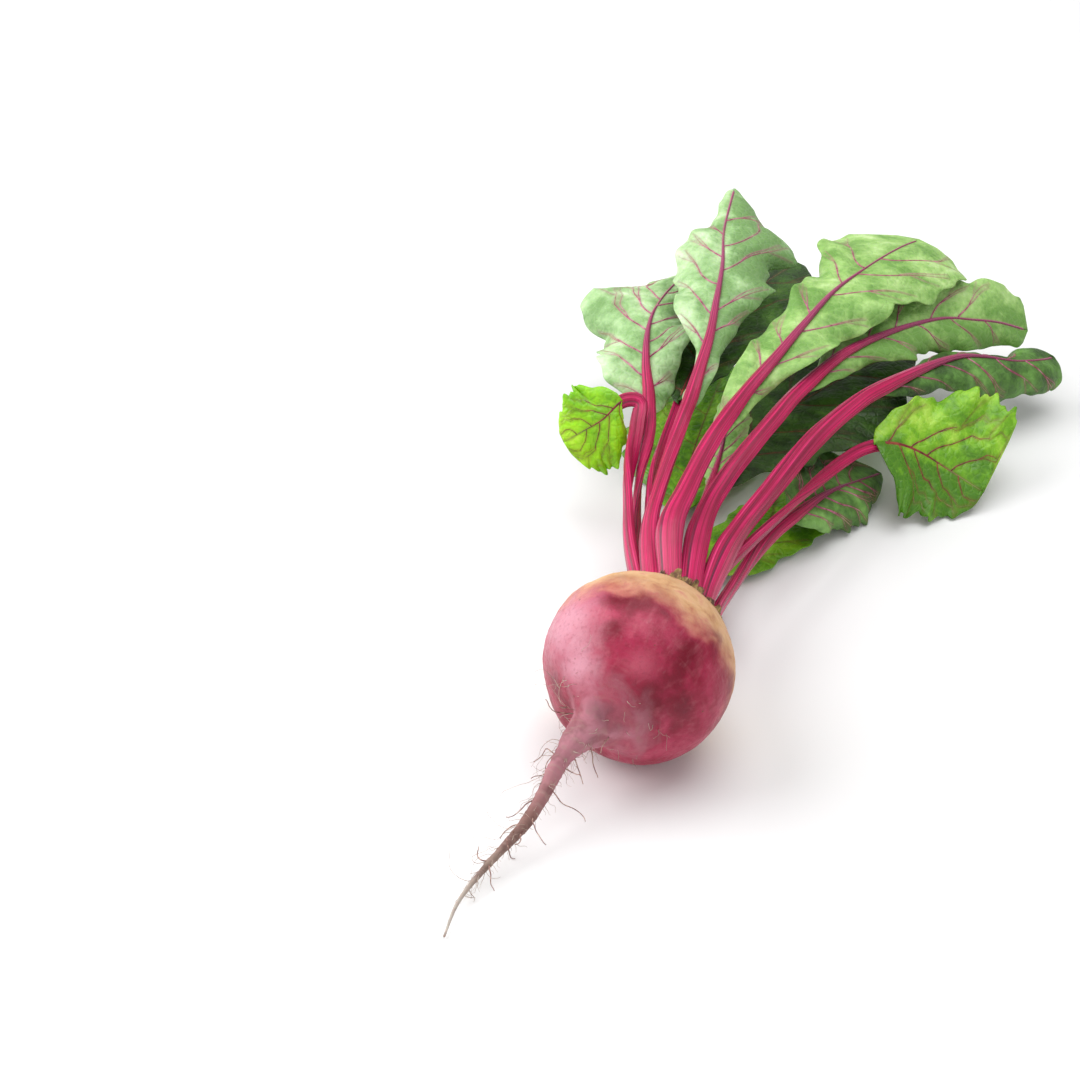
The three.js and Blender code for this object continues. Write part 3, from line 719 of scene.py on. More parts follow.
for i in range(STUB_COUNT):
    turned = (i + draw(-0.25, 0.25)) / STUB_COUNT * 2 * math.pi
    height = draw(0.005, 0.0074)
    lean = draw(0.0006, 0.0022)
    width = draw(0.0028, 0.0044)
    tip = math.atan2(lean, height)
    size = (width, height * 0.9, STUB_DEPTH)
    places.append(ring_frame(turned, STUB_RING, CROWN_Y - STUB_SUNK, tip, 0, size))
stubs = copies_joined(stub, "crown_stubs", places)

husk = Finish("crown_husk", 0.8)
fibres = husk.uneven(husk.coords(scale=(1, 0.25, 1)), 0.0011, 5)
mottle = husk.uneven(husk.coords(), 0.004, 4)
dry = husk.ramp(mottle, [
    (0.3, paint(58, 34, 26)),
    (0.45, paint(104, 70, 42)),
    (0.58, paint(138, 116, 62)),
    (0.72, paint(158, 96, 84)),
])
dry = husk.blend(husk.share(fibres, 0.45, 0.7, 0, 0.6), dry, paint(192, 160, 112))
husk.wear(dry, husk.share(fibres, 0.3, 0.7, 0.65, 0.9), husk.bump(fibres, 0.0004, 0.8))
settle(scales, husk.material)
settle(stubs, husk.material)

# The leaves, named by where they lie. ring and turn place the stalk's foot on the crown, turn in degrees from +X
# towards +Z, and path is the rest of its line. rib says which side of the blade the midrib stands out on, and so
# which side is the pale underside. left and right are the blade's widths beside the midrib from start to tip.
OUTER_RING = 0.013
INNER_RING = 0.006
FOOT_WIDTH = 0.0066
STALK_FOOT = 0.03585
LEAVES = [
    dict(name="left_small_leaf", ring=OUTER_RING, turn=168, thick=0.0074, rib="below", blade_at=6,
        path=[(-0.026, 0.064, 0.037), (-0.037, 0.087, 0.04), (-0.048, 0.113, 0.043),
              (-0.0535, 0.128, 0.047), (-0.0575, 0.1375, 0.051), (-0.064, 0.1345, 0.051),
              (-0.0685, 0.1255, 0.0464), (-0.0745, 0.1195, 0.0426), (-0.0805, 0.114, 0.039)],
        up=(0.34, -0.73, 0.59), tip_up=(0.34, -0.73, 0.59),
        left=[0.001, 0.009, 0.015, 0.019, 0.019, 0.015, 0.006],
        right=[0.008, 0.016, 0.018, 0.017, 0.015, 0.011, 0.005],
        bend_left=-20, bend_right=-20, lead=0, waves=2, ruffle=0.0012, phase=0.4),
    dict(name="left_curled_leaf", ring=OUTER_RING, turn=200, thick=0.0066, rib="above", blade_at=5,
        path=[(-0.023, 0.062, 0.031), (-0.033, 0.085, 0.033), (-0.041, 0.107, 0.036),
              (-0.049, 0.13, 0.0385), (-0.059, 0.152, 0.043), (-0.068, 0.17, 0.048),
              (-0.075, 0.188, 0.0515), (-0.079, 0.205, 0.053), (-0.08, 0.223, 0.053),
              (-0.08, 0.242, 0.051)],
        up=(-0.1, 0, 1), tip_up=(0, 0.1, 1),
        left=[0.004, 0.014, 0.02, 0.025, 0.033, 0.031, 0.02, 0.006],
        right=[0.004, 0.012, 0.017, 0.02, 0.02, 0.017, 0.01, 0.003],
        bend_left=-35, bend_right=-8, lead=0.1, waves=2, ruffle=0.008, phase=3.4),
    dict(name="top_left_leaf", ring=OUTER_RING, turn=136, thick=0.0074, rib="above", blade_at=4,
        path=[(-0.019, 0.062, 0.043), (-0.025, 0.084, 0.046), (-0.031, 0.112, 0.0505),
              (-0.036, 0.14, 0.056), (-0.039, 0.158, 0.061), (-0.042, 0.175, 0.0655), (-0.047, 0.194, 0.07),
              (-0.054, 0.219, 0.074), (-0.063, 0.244, 0.077), (-0.073, 0.283, 0.077)],
        up=(0, -0.2, 1), tip_up=(0, 0, 1),
        left=[0.003, 0.005, 0.014, 0.021, 0.021, 0.01, 0.006, 0.003],
        right=[0.003, 0.006, 0.014, 0.02, 0.027, 0.034, 0.018, 0.003],
        bend_left=-35, bend_right=-60, lead=0.05, waves=3, ruffle=0.004, phase=0),
    dict(name="top_right_leaf", ring=OUTER_RING, turn=100, thick=0.009, rib="above", blade_at=4,
        path=[(-0.011, 0.058, 0.0495), (-0.014, 0.08, 0.0515), (-0.0165, 0.106, 0.0535),
              (-0.017, 0.131, 0.056), (-0.016, 0.152, 0.058), (-0.013, 0.174, 0.0615), (-0.01, 0.2, 0.065),
              (-0.007, 0.23, 0.0665), (-0.001, 0.26, 0.0655), (0.004, 0.288, 0.0615),
              (0.008, 0.308, 0.057)],
        up=(0, -0.1, 1), tip_up=(0, 0.3, 1),
        left=[0.005, 0.012, 0.015, 0.014, 0.017, 0.026, 0.033, 0.015],
        right=[0.004, 0.007, 0.015, 0.022, 0.026, 0.031, 0.034, 0.017],
        bend_left=-8, bend_right=-30, lead=0.04, waves=3.5, ruffle=0.0035, phase=2),
    dict(name="right_leaf", ring=OUTER_RING, turn=66, thick=0.0084, rib="above", blade_at=6,
        path=[(-0.004, 0.062, 0.0435), (-0.008, 0.084, 0.044), (-0.008, 0.103, 0.0455),
              (-0.006, 0.121, 0.0475), (-0.003, 0.143, 0.0495), (0.001, 0.173, 0.0515),
              (0.008, 0.205, 0.053), (0.02, 0.236, 0.051), (0.033, 0.26, 0.0475), (0.045, 0.273, 0.043),
              (0.054, 0.284, 0.038), (0.064, 0.298, 0.029)],
        up=(0, 0, 1), tip_up=(0.75, -0.3, 0.6),
        left=[0.003, 0.008, 0.014, 0.018, 0.018, 0.021, 0.019, 0.016],
        right=[0.003, 0.008, 0.011, 0.014, 0.015, 0.013, 0.011, 0.008],
        bend_left=-15, bend_right=-50, lead=0.02, waves=3, ruffle=0.0035, phase=1),
    dict(name="right_rolled_leaf", ring=OUTER_RING, turn=34, thick=0.0094, rib="above", blade_at=6,
        path=[(0.0035, 0.062, 0.0385), (0.0025, 0.082, 0.038), (0.004, 0.102, 0.0385),
              (0.01, 0.144, 0.0405), (0.019, 0.179, 0.0415), (0.026, 0.2, 0.0415), (0.037, 0.23, 0.0395),
              (0.046, 0.248, 0.0375), (0.055, 0.259, 0.034), (0.066, 0.268, 0.03), (0.075, 0.2805, 0.026),
              (0.0785, 0.292, 0.022)],
        up=(0, 0, 1), tip_up=(0.4, 0.2, 0.9),
        left=[0.003, 0.009, 0.013, 0.013, 0.009, 0.009, 0.018, 0.022],
        right=[0.003, 0.009, 0.015, 0.022, 0.023, 0.02, 0.018, 0.019],
        bend_left=-85, bend_right=-125, lead=0, waves=2, ruffle=0.0015, phase=0.7),
    dict(name="right_open_leaf", ring=INNER_RING, turn=-10, thick=0.0066, rib="below", blade_at=6,
        path=[(0.0025, 0.064, 0.033), (0.009, 0.101, 0.0335), (0.015, 0.13, 0.034), (0.024, 0.16, 0.0335),
              (0.029, 0.173, 0.0325), (0.0345, 0.181, 0.0305), (0.041, 0.187, 0.0275),
              (0.049, 0.1915, 0.0225), (0.059, 0.1945, 0.016), (0.0745, 0.197, 0.0075)],
        up=(0.3, -0.45, 0.85), tip_up=(0.45, -0.5, 0.75),
        left=[0.004, 0.017, 0.025, 0.033, 0.039, 0.04, 0.039, 0.035],
        right=[0.01, 0.026, 0.029, 0.027, 0.024, 0.021, 0.016, 0.008],
        bend_left=0, bend_right=-10, lead=0.1, waves=3, ruffle=0.0024, phase=2.4),
    dict(name="right_low_leaf", ring=OUTER_RING, turn=-8, thick=0.007, rib="above", blade_at=4,
        path=[(0.0062, 0.062, 0.0248), (0.0066, 0.088, 0.0226), (0.0095, 0.108, 0.0212),
              (0.014, 0.126, 0.0205), (0.018, 0.147, 0.0185), (0.022, 0.162, 0.016), (0.026, 0.174, 0.013),
              (0.032, 0.19, 0.009)],
        up=(0.3, 0, 1), tip_up=(0.3, 0.2, 1),
        left=[0.003, 0.013, 0.022, 0.027, 0.025, 0.016, 0.004],
        right=[0.003, 0.012, 0.018, 0.019, 0.017, 0.012, 0.004],
        bend_left=5, bend_right=-90, lead=0, waves=2, ruffle=0.0015, phase=0.3),
    dict(name="floor_middle_leaf", ring=OUTER_RING, turn=-74, thick=0.0064, rib="below", blade_at=3,
        path=[(-0.002, 0.057, 0.013), (-0.0085, 0.078, 0.0075), (-0.011, 0.097, 0.0054),
              (-0.004, 0.12, 0.0046), (0.006, 0.147, 0.004), (0.015, 0.172, 0.0032),
              (0.025, 0.198, 0.0024)],
        up=(0, 0, 1), tip_up=(0, 0, 1),
        left=[0.004, 0.016, 0.022, 0.022, 0.02, 0.014, 0.004],
        right=[0.004, 0.014, 0.015, 0.015, 0.013, 0.009, 0.004],
        bend_left=-15, bend_right=-15, lead=0.05, waves=3, ruffle=0.0006, phase=0.9),
    dict(name="floor_left_leaf", ring=OUTER_RING, turn=-110, thick=0.0064, rib="below", blade_at=4,
        path=[(-0.012, 0.058, 0.014), (-0.022, 0.084, 0.008), (-0.03, 0.11, 0.006), (-0.037, 0.135, 0.0055),
              (-0.045, 0.165, 0.0052), (-0.051, 0.195, 0.006), (-0.055, 0.222, 0.008),
              (-0.058, 0.245, 0.009)],
        up=(0, 0, 1), tip_up=(0, 0, 1),
        left=[0.004, 0.018, 0.028, 0.032, 0.03, 0.024, 0.014, 0.004],
        right=[0.004, 0.016, 0.024, 0.028, 0.027, 0.022, 0.013, 0.004],
        bend_left=-14, bend_right=10, lead=0.05, waves=3, ruffle=0.0019, phase=0.2),
    dict(name="inner_left_leaf", ring=INNER_RING, turn=180, thick=0.0064, rib="below", blade_at=6,
        path=[(-0.011, 0.05, 0.0345), (-0.017, 0.062, 0.0355), (-0.023, 0.074, 0.037),
              (-0.034, 0.102, 0.0395), (-0.043, 0.134, 0.04), (-0.05, 0.165, 0.04), (-0.054, 0.195, 0.0415),
              (-0.054, 0.22, 0.044), (-0.051, 0.243, 0.046), (-0.046, 0.264, 0.047),
              (-0.041, 0.284, 0.046)],
        up=(0, 0, 1), tip_up=(0, 0, 1),
        left=[0.004, 0.012, 0.018, 0.022, 0.024, 0.024, 0.018, 0.005],
        right=[0.004, 0.014, 0.021, 0.024, 0.025, 0.024, 0.018, 0.005],
        bend_left=-10, bend_right=10, lead=0.05, waves=3, ruffle=0.002, phase=1.6),
    dict(name="inner_right_leaf", ring=INNER_RING, turn=-95, thick=0.006, rib="below", blade_at=3,
        path=[(-0.005, 0.066, 0.031), (-0.012, 0.096, 0.0315), (-0.015, 0.125, 0.031), (-0.016, 0.15, 0.03),
              (-0.014, 0.172, 0.029), (-0.009, 0.195, 0.029), (-0.001, 0.217, 0.029), (0.008, 0.24, 0.028),
              (0.02, 0.264, 0.026)],
        up=(0, 0, 1), tip_up=(0, 0, 1),
        left=[0.004, 0.014, 0.02, 0.023, 0.024, 0.023, 0.017, 0.005],
        right=[0.004, 0.018, 0.028, 0.036, 0.036, 0.03, 0.022, 0.006],
        bend_left=10, bend_right=-18, lead=0.05, waves=3, ruffle=0.002, phase=0.5),
    dict(name="heart_leaf", ring=INNER_RING, turn=88, thick=0.0046, rib="above", blade_at=3,
        path=[(-0.003, 0.06, 0.0385), (-0.009, 0.085, 0.039), (-0.014, 0.108, 0.0395),
              (-0.019, 0.132, 0.041), (-0.024, 0.152, 0.043), (-0.028, 0.17, 0.046)],
        up=(-0.5, 0, 0.8), tip_up=(-0.4, 0, 1),
        left=[0.003, 0.008, 0.011, 0.012, 0.01, 0.007, 0.003],
        right=[0.003, 0.007, 0.01, 0.01, 0.009, 0.007, 0.003],
        bend_left=-30, bend_right=-30, lead=0, waves=2, ruffle=0.0015, phase=0.5),
]


def leaf_line(leaf):
    """Adds to a leaf the line of its stalk and midrib, where its blade starts on it, and its foot's direction."""
    turned = math.radians(leaf["turn"])
    away = np.array((math.cos(turned), 0, math.sin(turned)))
    foot = np.array((0, STALK_FOOT, AXIS_HEIGHT)) + away * (leaf["ring"] - FOOT_WIDTH / 2)
    leaf["line"] = smooth_line([foot, *leaf["path"]])
    leaf["length"] = leaf["line"][0][-1]
    leaf["stalk"] = leaf["line"][0][leaf["blade_at"] * LINE_SPANS]
    leaf["foot_up"] = away if leaf["rib"] == "above" else -away


def on_leaf_line(leaf, distance):
    """Places along a leaf's line, with the directions ahead, up and to the right."""
    centre, ahead = on_line(leaf["line"], distance)
    turned = ease(distance, leaf["stalk"] * 0.3, leaf["stalk"] + 0.005)[..., None]
    tip_turned = ease(distance, leaf["stalk"] + 0.005, leaf["length"])[..., None]
    up = leaf["foot_up"] + (unit(np.array(leaf["up"])) - leaf["foot_up"]) * turned
    up = up + (unit(np.array(leaf["tip_up"])) - up) * tip_turned
    up = unit(up - ahead * (up * ahead).sum(-1, keepdims=True))
    return centre, ahead, up, np.cross(ahead, up)


# The stalks: fleshy, ribbed lengthwise, hollowed along the inner side, wider at the foot where they clasp the
# crown, and running on as the midrib of the blade. Each is one grid wrapped round its line and closed at the ends.
STALK_SIDES = 36
STALK_STEPS = 120
FOOT_SUNK = 0.0022
FOOT_FLARE = 0.34
STALK_TAPER = 0.2
MIDRIB_TAPER = 1.6
MIDRIB_TIP = 0.0009
MIDRIB_REACH = 0.985
LEAST_DEPTH = 0.0007
RIB_HEIGHT = 0.045  # a share of the stalk's size, like the two below
SWELL = 0.02
HOLLOW = 0.5
ON_BLADE_RISE = 0.0004


def stalk_shape(leaf):
    """The function that lays out a grid as a leaf's stalk and midrib."""

    def shape(across, along):
        blade = leaf["length"] - leaf["stalk"]
        distance = -FOOT_SUNK + along * (leaf["stalk"] + blade * MIDRIB_REACH + FOOT_SUNK)
        centre, ahead, up, right = on_leaf_line(leaf, distance)
        out = up if leaf["rib"] == "above" else -up
        on_blade = np.clip((distance - leaf["stalk"]) / blade, 0, 1)
        leaf["on_blade"] = on_blade
        full = FOOT_WIDTH + (leaf["thick"] - FOOT_WIDTH) * ease(distance, 0.003, 0.032)
        slim = (1 - STALK_TAPER * np.clip(distance / leaf["stalk"], 0, 1)) * (1 - on_blade) ** MIDRIB_TAPER
        width = np.maximum(MIDRIB_TIP, full * slim)
        depth = np.maximum(LEAST_DEPTH, width * (0.85 - 0.15 * np.clip(distance / 0.06, 0, 1)))
        width = width * (1 + FOOT_FLARE * (1 - ease(distance, 0.004, 0.06)))
        closed = np.where((along <= 0) | (along >= 1), 0, 1)
        reach = across * math.pi
        ribs = RIB_HEIGHT * np.cos(9 * reach + 1.5 * np.sin(distance * 40)) * (1 - ease(on_blade, 0.5, 0.9))
        ribs = 1 + ribs + SWELL * np.sin(230 * distance + leaf["turn"]) * np.cos(2 * reach)
        side = np.sin(reach)
        face = np.cos(reach)
        hollow = HOLLOW * (1 - side**2) * ease(-face, 0.1, 0.9)
        rise = depth / 2 + ON_BLADE_RISE + 0.0003 * (1 - ease(distance, leaf["stalk"] - 0.015, leaf["stalk"]))
        rise = rise - ON_BLADE_RISE * ease(distance, leaf["stalk"] - 0.015, leaf["stalk"] + 0.004)
        place = centre + out * rise[..., None]
        place = place + right * (side * ribs * closed * width / 2)[..., None]
        return place + out * ((face * ribs + hollow) * closed * depth / 2)[..., None]

    return shape


# Their skin: moist and magenta, streaked lengthwise, and duller where it runs on over the blade.
stalk_skin = Finish(
    "stalk_skin", 0.34, Subsurface_Weight=0.08, Subsurface_Scale=0.002, Specular_IOR_Level=0.4, Coat_Weight=0.1
)
stalk_skin.shader.inputs["Subsurface Radius"].default_value = (1.0, 0.25, 0.4)
lengthwise = stalk_skin.coords("UV", (26, 1.6, 1))
streaks = stalk_skin.uneven(lengthwise, 1.0, 4, 0.3)
threads = stalk_skin.uneven(stalk_skin.coords("UV", (90, 5, 1)), 1.0, 3)
blush = stalk_skin.uneven(stalk_skin.coords(), 0.018, 4)
magenta = stalk_skin.ramp(streaks, [
    (0.32, paint(78, 0, 34)),
    (0.46, paint(160, 0, 66)),
    (0.58, paint(206, 0, 92)),
    (0.73, paint(238, 80, 148)),
])
magenta = stalk_skin.blend(stalk_skin.share(blush, 0.4, 0.7, 0, 0.5), magenta, paint(148, 4, 56))
magenta = stalk_skin.blend(stalk_skin.share(threads, 0.5, 0.7, 0, 0.16), magenta, paint(236, 96, 156))
on_blade = stalk_skin.add("Attribute", {}, attribute_name="on_blade").outputs["Fac"]
dusty = stalk_skin.ramp(streaks, [
    (0.35, paint(112, 34, 74)),
    (0.5, paint(150, 62, 104)),
    (0.65, paint(178, 106, 136)),
])
magenta = stalk_skin.blend(stalk_skin.share(on_blade, 0.0, 0.6, 0, 0.85), magenta, dusty)
stalk_relief = stalk_skin.bump(stalk_skin.plus(streaks, threads), 0.0004, 0.6)
stalk_skin.wear(magenta, stalk_skin.share(streaks, 0.3, 0.7, 0.28, 0.44), stalk_relief)

for leaf in LEAVES:
    leaf_line(leaf)
    stalk = from_grid(leaf["name"] + "_ribbed_stalk", STALK_SIDES, STALK_STEPS, stalk_shape(leaf))
    stalk.data.attributes.new("on_blade", "FLOAT", "POINT").data.foreach_set("value", leaf["on_blade"])
    weld(stalk)
    settle(stalk, stalk_skin.material)
    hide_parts(leaf["name"] + "_stalk")

# The blades: thin waved sheets, bright and smooth above, pale and matt below, that pucker up between their side
# veins. Each is one grid laid along the leaf's line, and then given its thickness.
BLADE_COLUMNS = 72
BLADE_ROWS = 100
BLADE_THICKNESS = 0.0006
BEND_STEPS = 8
BEND_GROWTH = 1.3
NOTCH = 0.06  # a share of the blade's width, like the next
TOOTH = 0.035
CRISP = 0.35
PUCKER = 0.0006
PUCKER_SPREAD = 0.005
DIMPLE = 0.00035


def width_at(leaf, side, u):
    """The blade's width beside its midrib, on its left or right side, at u along it."""
    return smooth_list(leaf[side], u * (len(leaf[side]) - 1))


def blade_places(leaf, u, v):
    """Places on the blade's middle surface. u runs from its start to its tip, v from -1, left, to 1, right."""
    to_right = v >= 0
    sign = np.where(to_right, 1, -1)
    share = abs(v)
    notch = 1 + NOTCH * np.sin(2 * math.pi * 4.5 * u + 3 * leaf["phase"] + to_right)
    notch = notch + TOOTH * np.sin(2 * math.pi * 10.5 * u + 5 * leaf["phase"] + 2 * to_right)
    reach = np.where(to_right, width_at(leaf, "right", u), width_at(leaf, "left", u))
    rounded = np.sqrt(1 - np.clip((u - 0.96) / 0.04, 0, 1) ** 3) * np.sqrt(np.clip(u / 0.035, 0, 1))
    reach = reach * notch * rounded * share
    bend = np.radians(np.where(to_right, leaf["bend_right"], leaf["bend_left"]))
    blade = leaf["length"] - leaf["stalk"]
    edge = u**0.85 - leaf["lead"] * (1 - u) ** 4
    along = MIDRIB_REACH * u + (edge - MIDRIB_REACH * u) * share**1.5
    place, ahead, up, right = on_leaf_line(leaf, leaf["stalk"] + blade * along)
    step = reach / BEND_STEPS
    for i in range(BEND_STEPS):
        turned = bend * ((i + 0.5) / BEND_STEPS * share) ** BEND_GROWTH
        place = place + right * (sign * step * np.cos(turned))[..., None]
        place = place + up * (step * np.sin(turned))[..., None]
    turned = bend * share**BEND_GROWTH
    fade = np.sin(math.pi * np.clip(u * 1.05 + 0.05, 0, 1)) ** 0.5
    wave = np.sin(2 * math.pi * leaf["waves"] * u + leaf["phase"] + np.where(to_right, 0, 2))
    rise = leaf["ruffle"] * share**2 * fade * wave
    crisp = min(leaf["ruffle"], 0.003) * CRISP
    rise = rise + crisp * share**4 * fade * np.sin(2 * math.pi * 9 * u + 4 * leaf["phase"] + to_right)
    return place + up * (rise * np.cos(turned))[..., None] - right * (sign * rise * np.sin(turned))[..., None]


def blade_surface(leaf, u, v):
    """Places on the blade, and the direction that its top side faces there."""
    step = 0.004
    side_step = 0.02
    ahead = blade_places(leaf, np.clip(u + step, 0, 1), v) - blade_places(leaf, np.clip(u - step, 0, 1), v)
    inside = np.clip(u, 0.02, 0.98)
    to_right = blade_places(leaf, inside, np.clip(v + side_step, -1, 1))
    to_left = blade_places(leaf, inside, np.clip(v - side_step, -1, 1))
    return blade_places(leaf, u, v), unit(np.cross(to_right - to_left, ahead))


# The side veins: ridges a little thicker than the blade, that branch off the midrib in pairs, curve towards the
# tip, fork twice and stop short of the margin. A leaf's are one piece with the thin line under its midrib.
VEIN_PAIRS = 6
TOP_VEIN_PAIRS = 4  # on the leaves that show their upper side
VEIN_END = 0.96
VEIN_WIDTH = 0.00105
VEIN_SIDES = 6
MIDRIB_LINE = (1.5, 0.35)  # its start and end widths, in vein widths


def vein_paths(leaf):
    """A blade's side veins and their forks, each as its list of (u, v), its start width and its end width."""
    draw = seeded(int(leaf["turn"]) % 97 + 3)
    blade = leaf["length"] - leaf["stalk"]
    veins = []
    pairs = TOP_VEIN_PAIRS if leaf["rib"] == "below" else VEIN_PAIRS
    for side, sizes in ((-1, "left"), (1, "right")):
        for k in range(pairs):
            start = 0.02 + 0.86 * (k + (0.45 if side > 0 else 0) + draw(-0.22, 0.22)) / pairs
            start = max(0.02, start)
            width = float(width_at(leaf, sizes, np.array(start + 0.1)))
            rise = draw(0.7, 1.1) * width / blade
            steps = np.linspace(0, 1, 13)
            reach = draw(0.8, 0.92)
            u = start + rise * steps**1.3 + draw(-0.012, 0.012) * np.sin(steps * 6)
            v = side * reach * steps
            strong = draw(0.8, 1.05) * (1 - 0.4 * start)
            veins.append((np.stack((u, v), -1), strong, 0.2))
            for at, turn in ((draw(0.3, 0.5), 1), (draw(0.55, 0.75), -1)):
                fork = np.linspace(0, 1, 8)
                u0, v0 = np.interp(at, steps, u), side * reach * at
                span = min(0.93 - abs(v0), 0.45)
                away = turn * draw(0.35, 0.7) * span * width / blade
                fork_u = u0 + away * fork**0.8 + rise * 0.9 * fork * span
                veins.append((np.stack((fork_u, v0 + side * span * fork), -1), strong * (1 - at) * 0.85, 0.15))
    low, high = (0.005, -VEIN_END), (MIDRIB_REACH, VEIN_END)
    return [(np.clip(path, low, high), wide, thin) for path, wide, thin in veins]


def vein_nearness(leaf, u, v, veins):
    """The distance from each point of the blade, laid flat, to its nearest vein or the midrib."""
    blade = leaf["length"] - leaf["stalk"]
    widths = np.where(v >= 0, width_at(leaf, "right", u), width_at(leaf, "left", u))
    here = np.stack((v * widths, u * blade), -1)
    nearest = abs(here[:, 0])
    for path, wide, thin in veins:
        reach = width_at(leaf, "right" if path[-1, 1] > 0 else "left", path[:, 0])
        flat = np.stack((path[:, 1] * reach, path[:, 0] * blade), -1)
        for start, end in zip(flat[:-1], flat[1:]):
            way = end - start
            share = np.clip(((here - start) @ way) / max(way @ way, 1e-12), 0, 1)
            nearest = np.minimum(nearest, np.linalg.norm(here - start - share[:, None] * way, axis=1))
    return nearest


def leaf_finish(name, tints, vein, halo, roughness, glow, relief_depth):
    """A blade's finish: greens from dark to light, lightened or darkened on each side as painted light and shade,
    the tint beside its veins, and a fine net of veinlets.
    """
    green = Finish(name, roughness, Subsurface_Weight=glow, Subsurface_Scale=0.0022)
    green.shader.inputs["Subsurface Radius"].default_value = (0.6, 1.0, 0.15)
    spot = green.coords()
    near = green.add("Attribute", {}, attribute_name="vein").outputs["Fac"]
    painted_shading = green.add("Attribute", {}, attribute_name="painted_shading").outputs["Fac"]
    clouds = green.uneven(spot, 0.016, 4, 0.5)
    mottle = green.uneven(spot, 0.003, 5)
    shifted = green.add("VectorMath", {0: spot, 1: (0.0003, 0.0003, 0.0003)}, operation="ADD").outputs[0]
    net = green.cells(shifted, 0.0032)
    value = green.plus(green.times(clouds, 0.8), green.times(mottle, 0.26))
    # Painted light and shade: each side of the blade is made lighter or darker by its painted shading value.
    value = green.plus(value, green.times(green.sums("SUBTRACT", painted_shading, 0.9), 0.34))
    tint = green.ramp(value, [(0.3 + 0.1 * i, paint(*tints[i])) for i in range(4)])
    lines = green.share(net, 0.0, 0.09, 1, 0)
    tint = green.blend(green.times(lines, 0.08), tint, paint(*tints[3]))
    tint = green.blend(green.share(near, 0.0014, 0.0002, 0, halo), tint, paint(*vein))
    height = green.plus(green.share(net, 0.0, 0.25), green.times(mottle, 0.6))
    relief = green.bump(height, relief_depth, 0.45)
    relief = green.bump(green.uneven(spot, 0.0006, 3), 0.00008, 0.4, relief)
    green.wear(tint, green.share(mottle, 0.3, 0.7, roughness - 0.07, roughness + 0.1), relief)
    return green.material


BRIGHT = leaf_finish(
    "leaf_top_bright",
    tints=[(72, 126, 8), (104, 162, 16), (132, 188, 32), (170, 214, 74)],
    vein=(110, 92, 24), halo=0.35, roughness=0.42, glow=0.15, relief_depth=0.0004,
)
# Painted shade: a darker copy of the top green, for the leaves whose top side faces down or lies in shadow between
# the stalks.
SHADED_TOP = leaf_finish(
    "leaf_top_shaded",
    tints=[(34, 60, 12), (50, 86, 20), (68, 110, 28), (98, 142, 48)],
    vein=(84, 40, 40), halo=0.4, roughness=0.45, glow=0.08, relief_depth=0.0004,
)
YOUNG = leaf_finish(
    "leaf_top_young",
    tints=[(116, 182, 2), (142, 208, 6), (158, 222, 16), (180, 228, 56)],
    vein=(120, 110, 20), halo=0.3, roughness=0.42, glow=0.2, relief_depth=0.0003,
)
PALE = leaf_finish(
    "leaf_underside",
    tints=[(108, 154, 68), (140, 182, 96), (168, 204, 124), (198, 224, 160)],
    vein=(160, 140, 120), halo=0.45, roughness=0.6, glow=0.12, relief_depth=0.0003,
)
# Painted shade: a darker copy of the underside green, for the two low right leaves that lie in shadow.
SHADED_UNDERSIDE = leaf_finish(
    "leaf_underside_shaded",
    tints=[(50, 84, 26), (76, 118, 44), (102, 150, 66), (132, 180, 92)],
    vein=(120, 84, 70), halo=0.4, roughness=0.6, glow=0.06, relief_depth=0.0003,
)
SILVER = leaf_finish(
    "leaf_underside_silver",
    tints=[(114, 154, 88), (146, 184, 122), (176, 206, 152), (206, 226, 190)],
    vein=(160, 130, 130), halo=0.45, roughness=0.55, glow=0.12, relief_depth=0.0003,
)
TOPS = {
    "left_small_leaf": YOUNG,
    "right_open_leaf": BRIGHT,
    "floor_middle_leaf": BRIGHT,
    "floor_left_leaf": BRIGHT,
}
UNDERSIDES = {
    "right_low_leaf": SHADED_UNDERSIDE,
    "right_rolled_leaf": SHADED_UNDERSIDE,
    "left_curled_leaf": SILVER,
    "top_left_leaf": SILVER,
}
# Painted light and shade: how much lighter or darker each side of the blade is painted left and right of its
# midrib, darker on a wing that bends into shade and lighter on one in the light, 0.5 being even.
EVEN = (0.5, 0.5)
PAINTED_SIDE_SHADING = {
    "top_left_leaf": (0.7, 0.1),
    "right_leaf": (0.6, 0.2),
    "left_curled_leaf": (0.7, 0.5),
    "right_open_leaf": (0.8, 0.15),
}
VEIN_WEIGHTS = {"right_open_leaf": 1.7, "left_small_leaf": 1.2}

# The veins' skin: dusty pink below the blade and dark red above it, fading to green towards the margin.
vein_skin = Finish("vein_skin", 0.45, Subsurface_Weight=0.1, Subsurface_Scale=0.001)
round_vein = vein_skin.split(vein_skin.coords("UV"))
belly = vein_skin.sums("ABSOLUTE", vein_skin.sums("SUBTRACT", round_vein[0], 0.5), 0)
streak = vein_skin.uneven(vein_skin.coords(), 0.003, 4)
under_tint = vein_skin.ramp(streak, [
    (0.35, paint(140, 44, 84)),
    (0.5, paint(176, 82, 118)),
    (0.65, paint(200, 128, 150)),
])
top_tint = vein_skin.ramp(streak, [
    (0.35, paint(84, 14, 22)),
    (0.5, paint(122, 30, 38)),
    (0.65, paint(150, 70, 44)),
])
faced = vein_skin.blend(vein_skin.share(belly, 0.22, 0.28), top_tint, under_tint)
faded = vein_skin.blend(vein_skin.share(round_vein[1], 0.4, 1.0, 0, 0.75), faced, paint(142, 156, 92))
vein_skin.wear(faded, vein_skin.share(streak, 0.3, 0.7, 0.4, 0.55), vein_skin.bump(streak, 0.0002, 0.5))


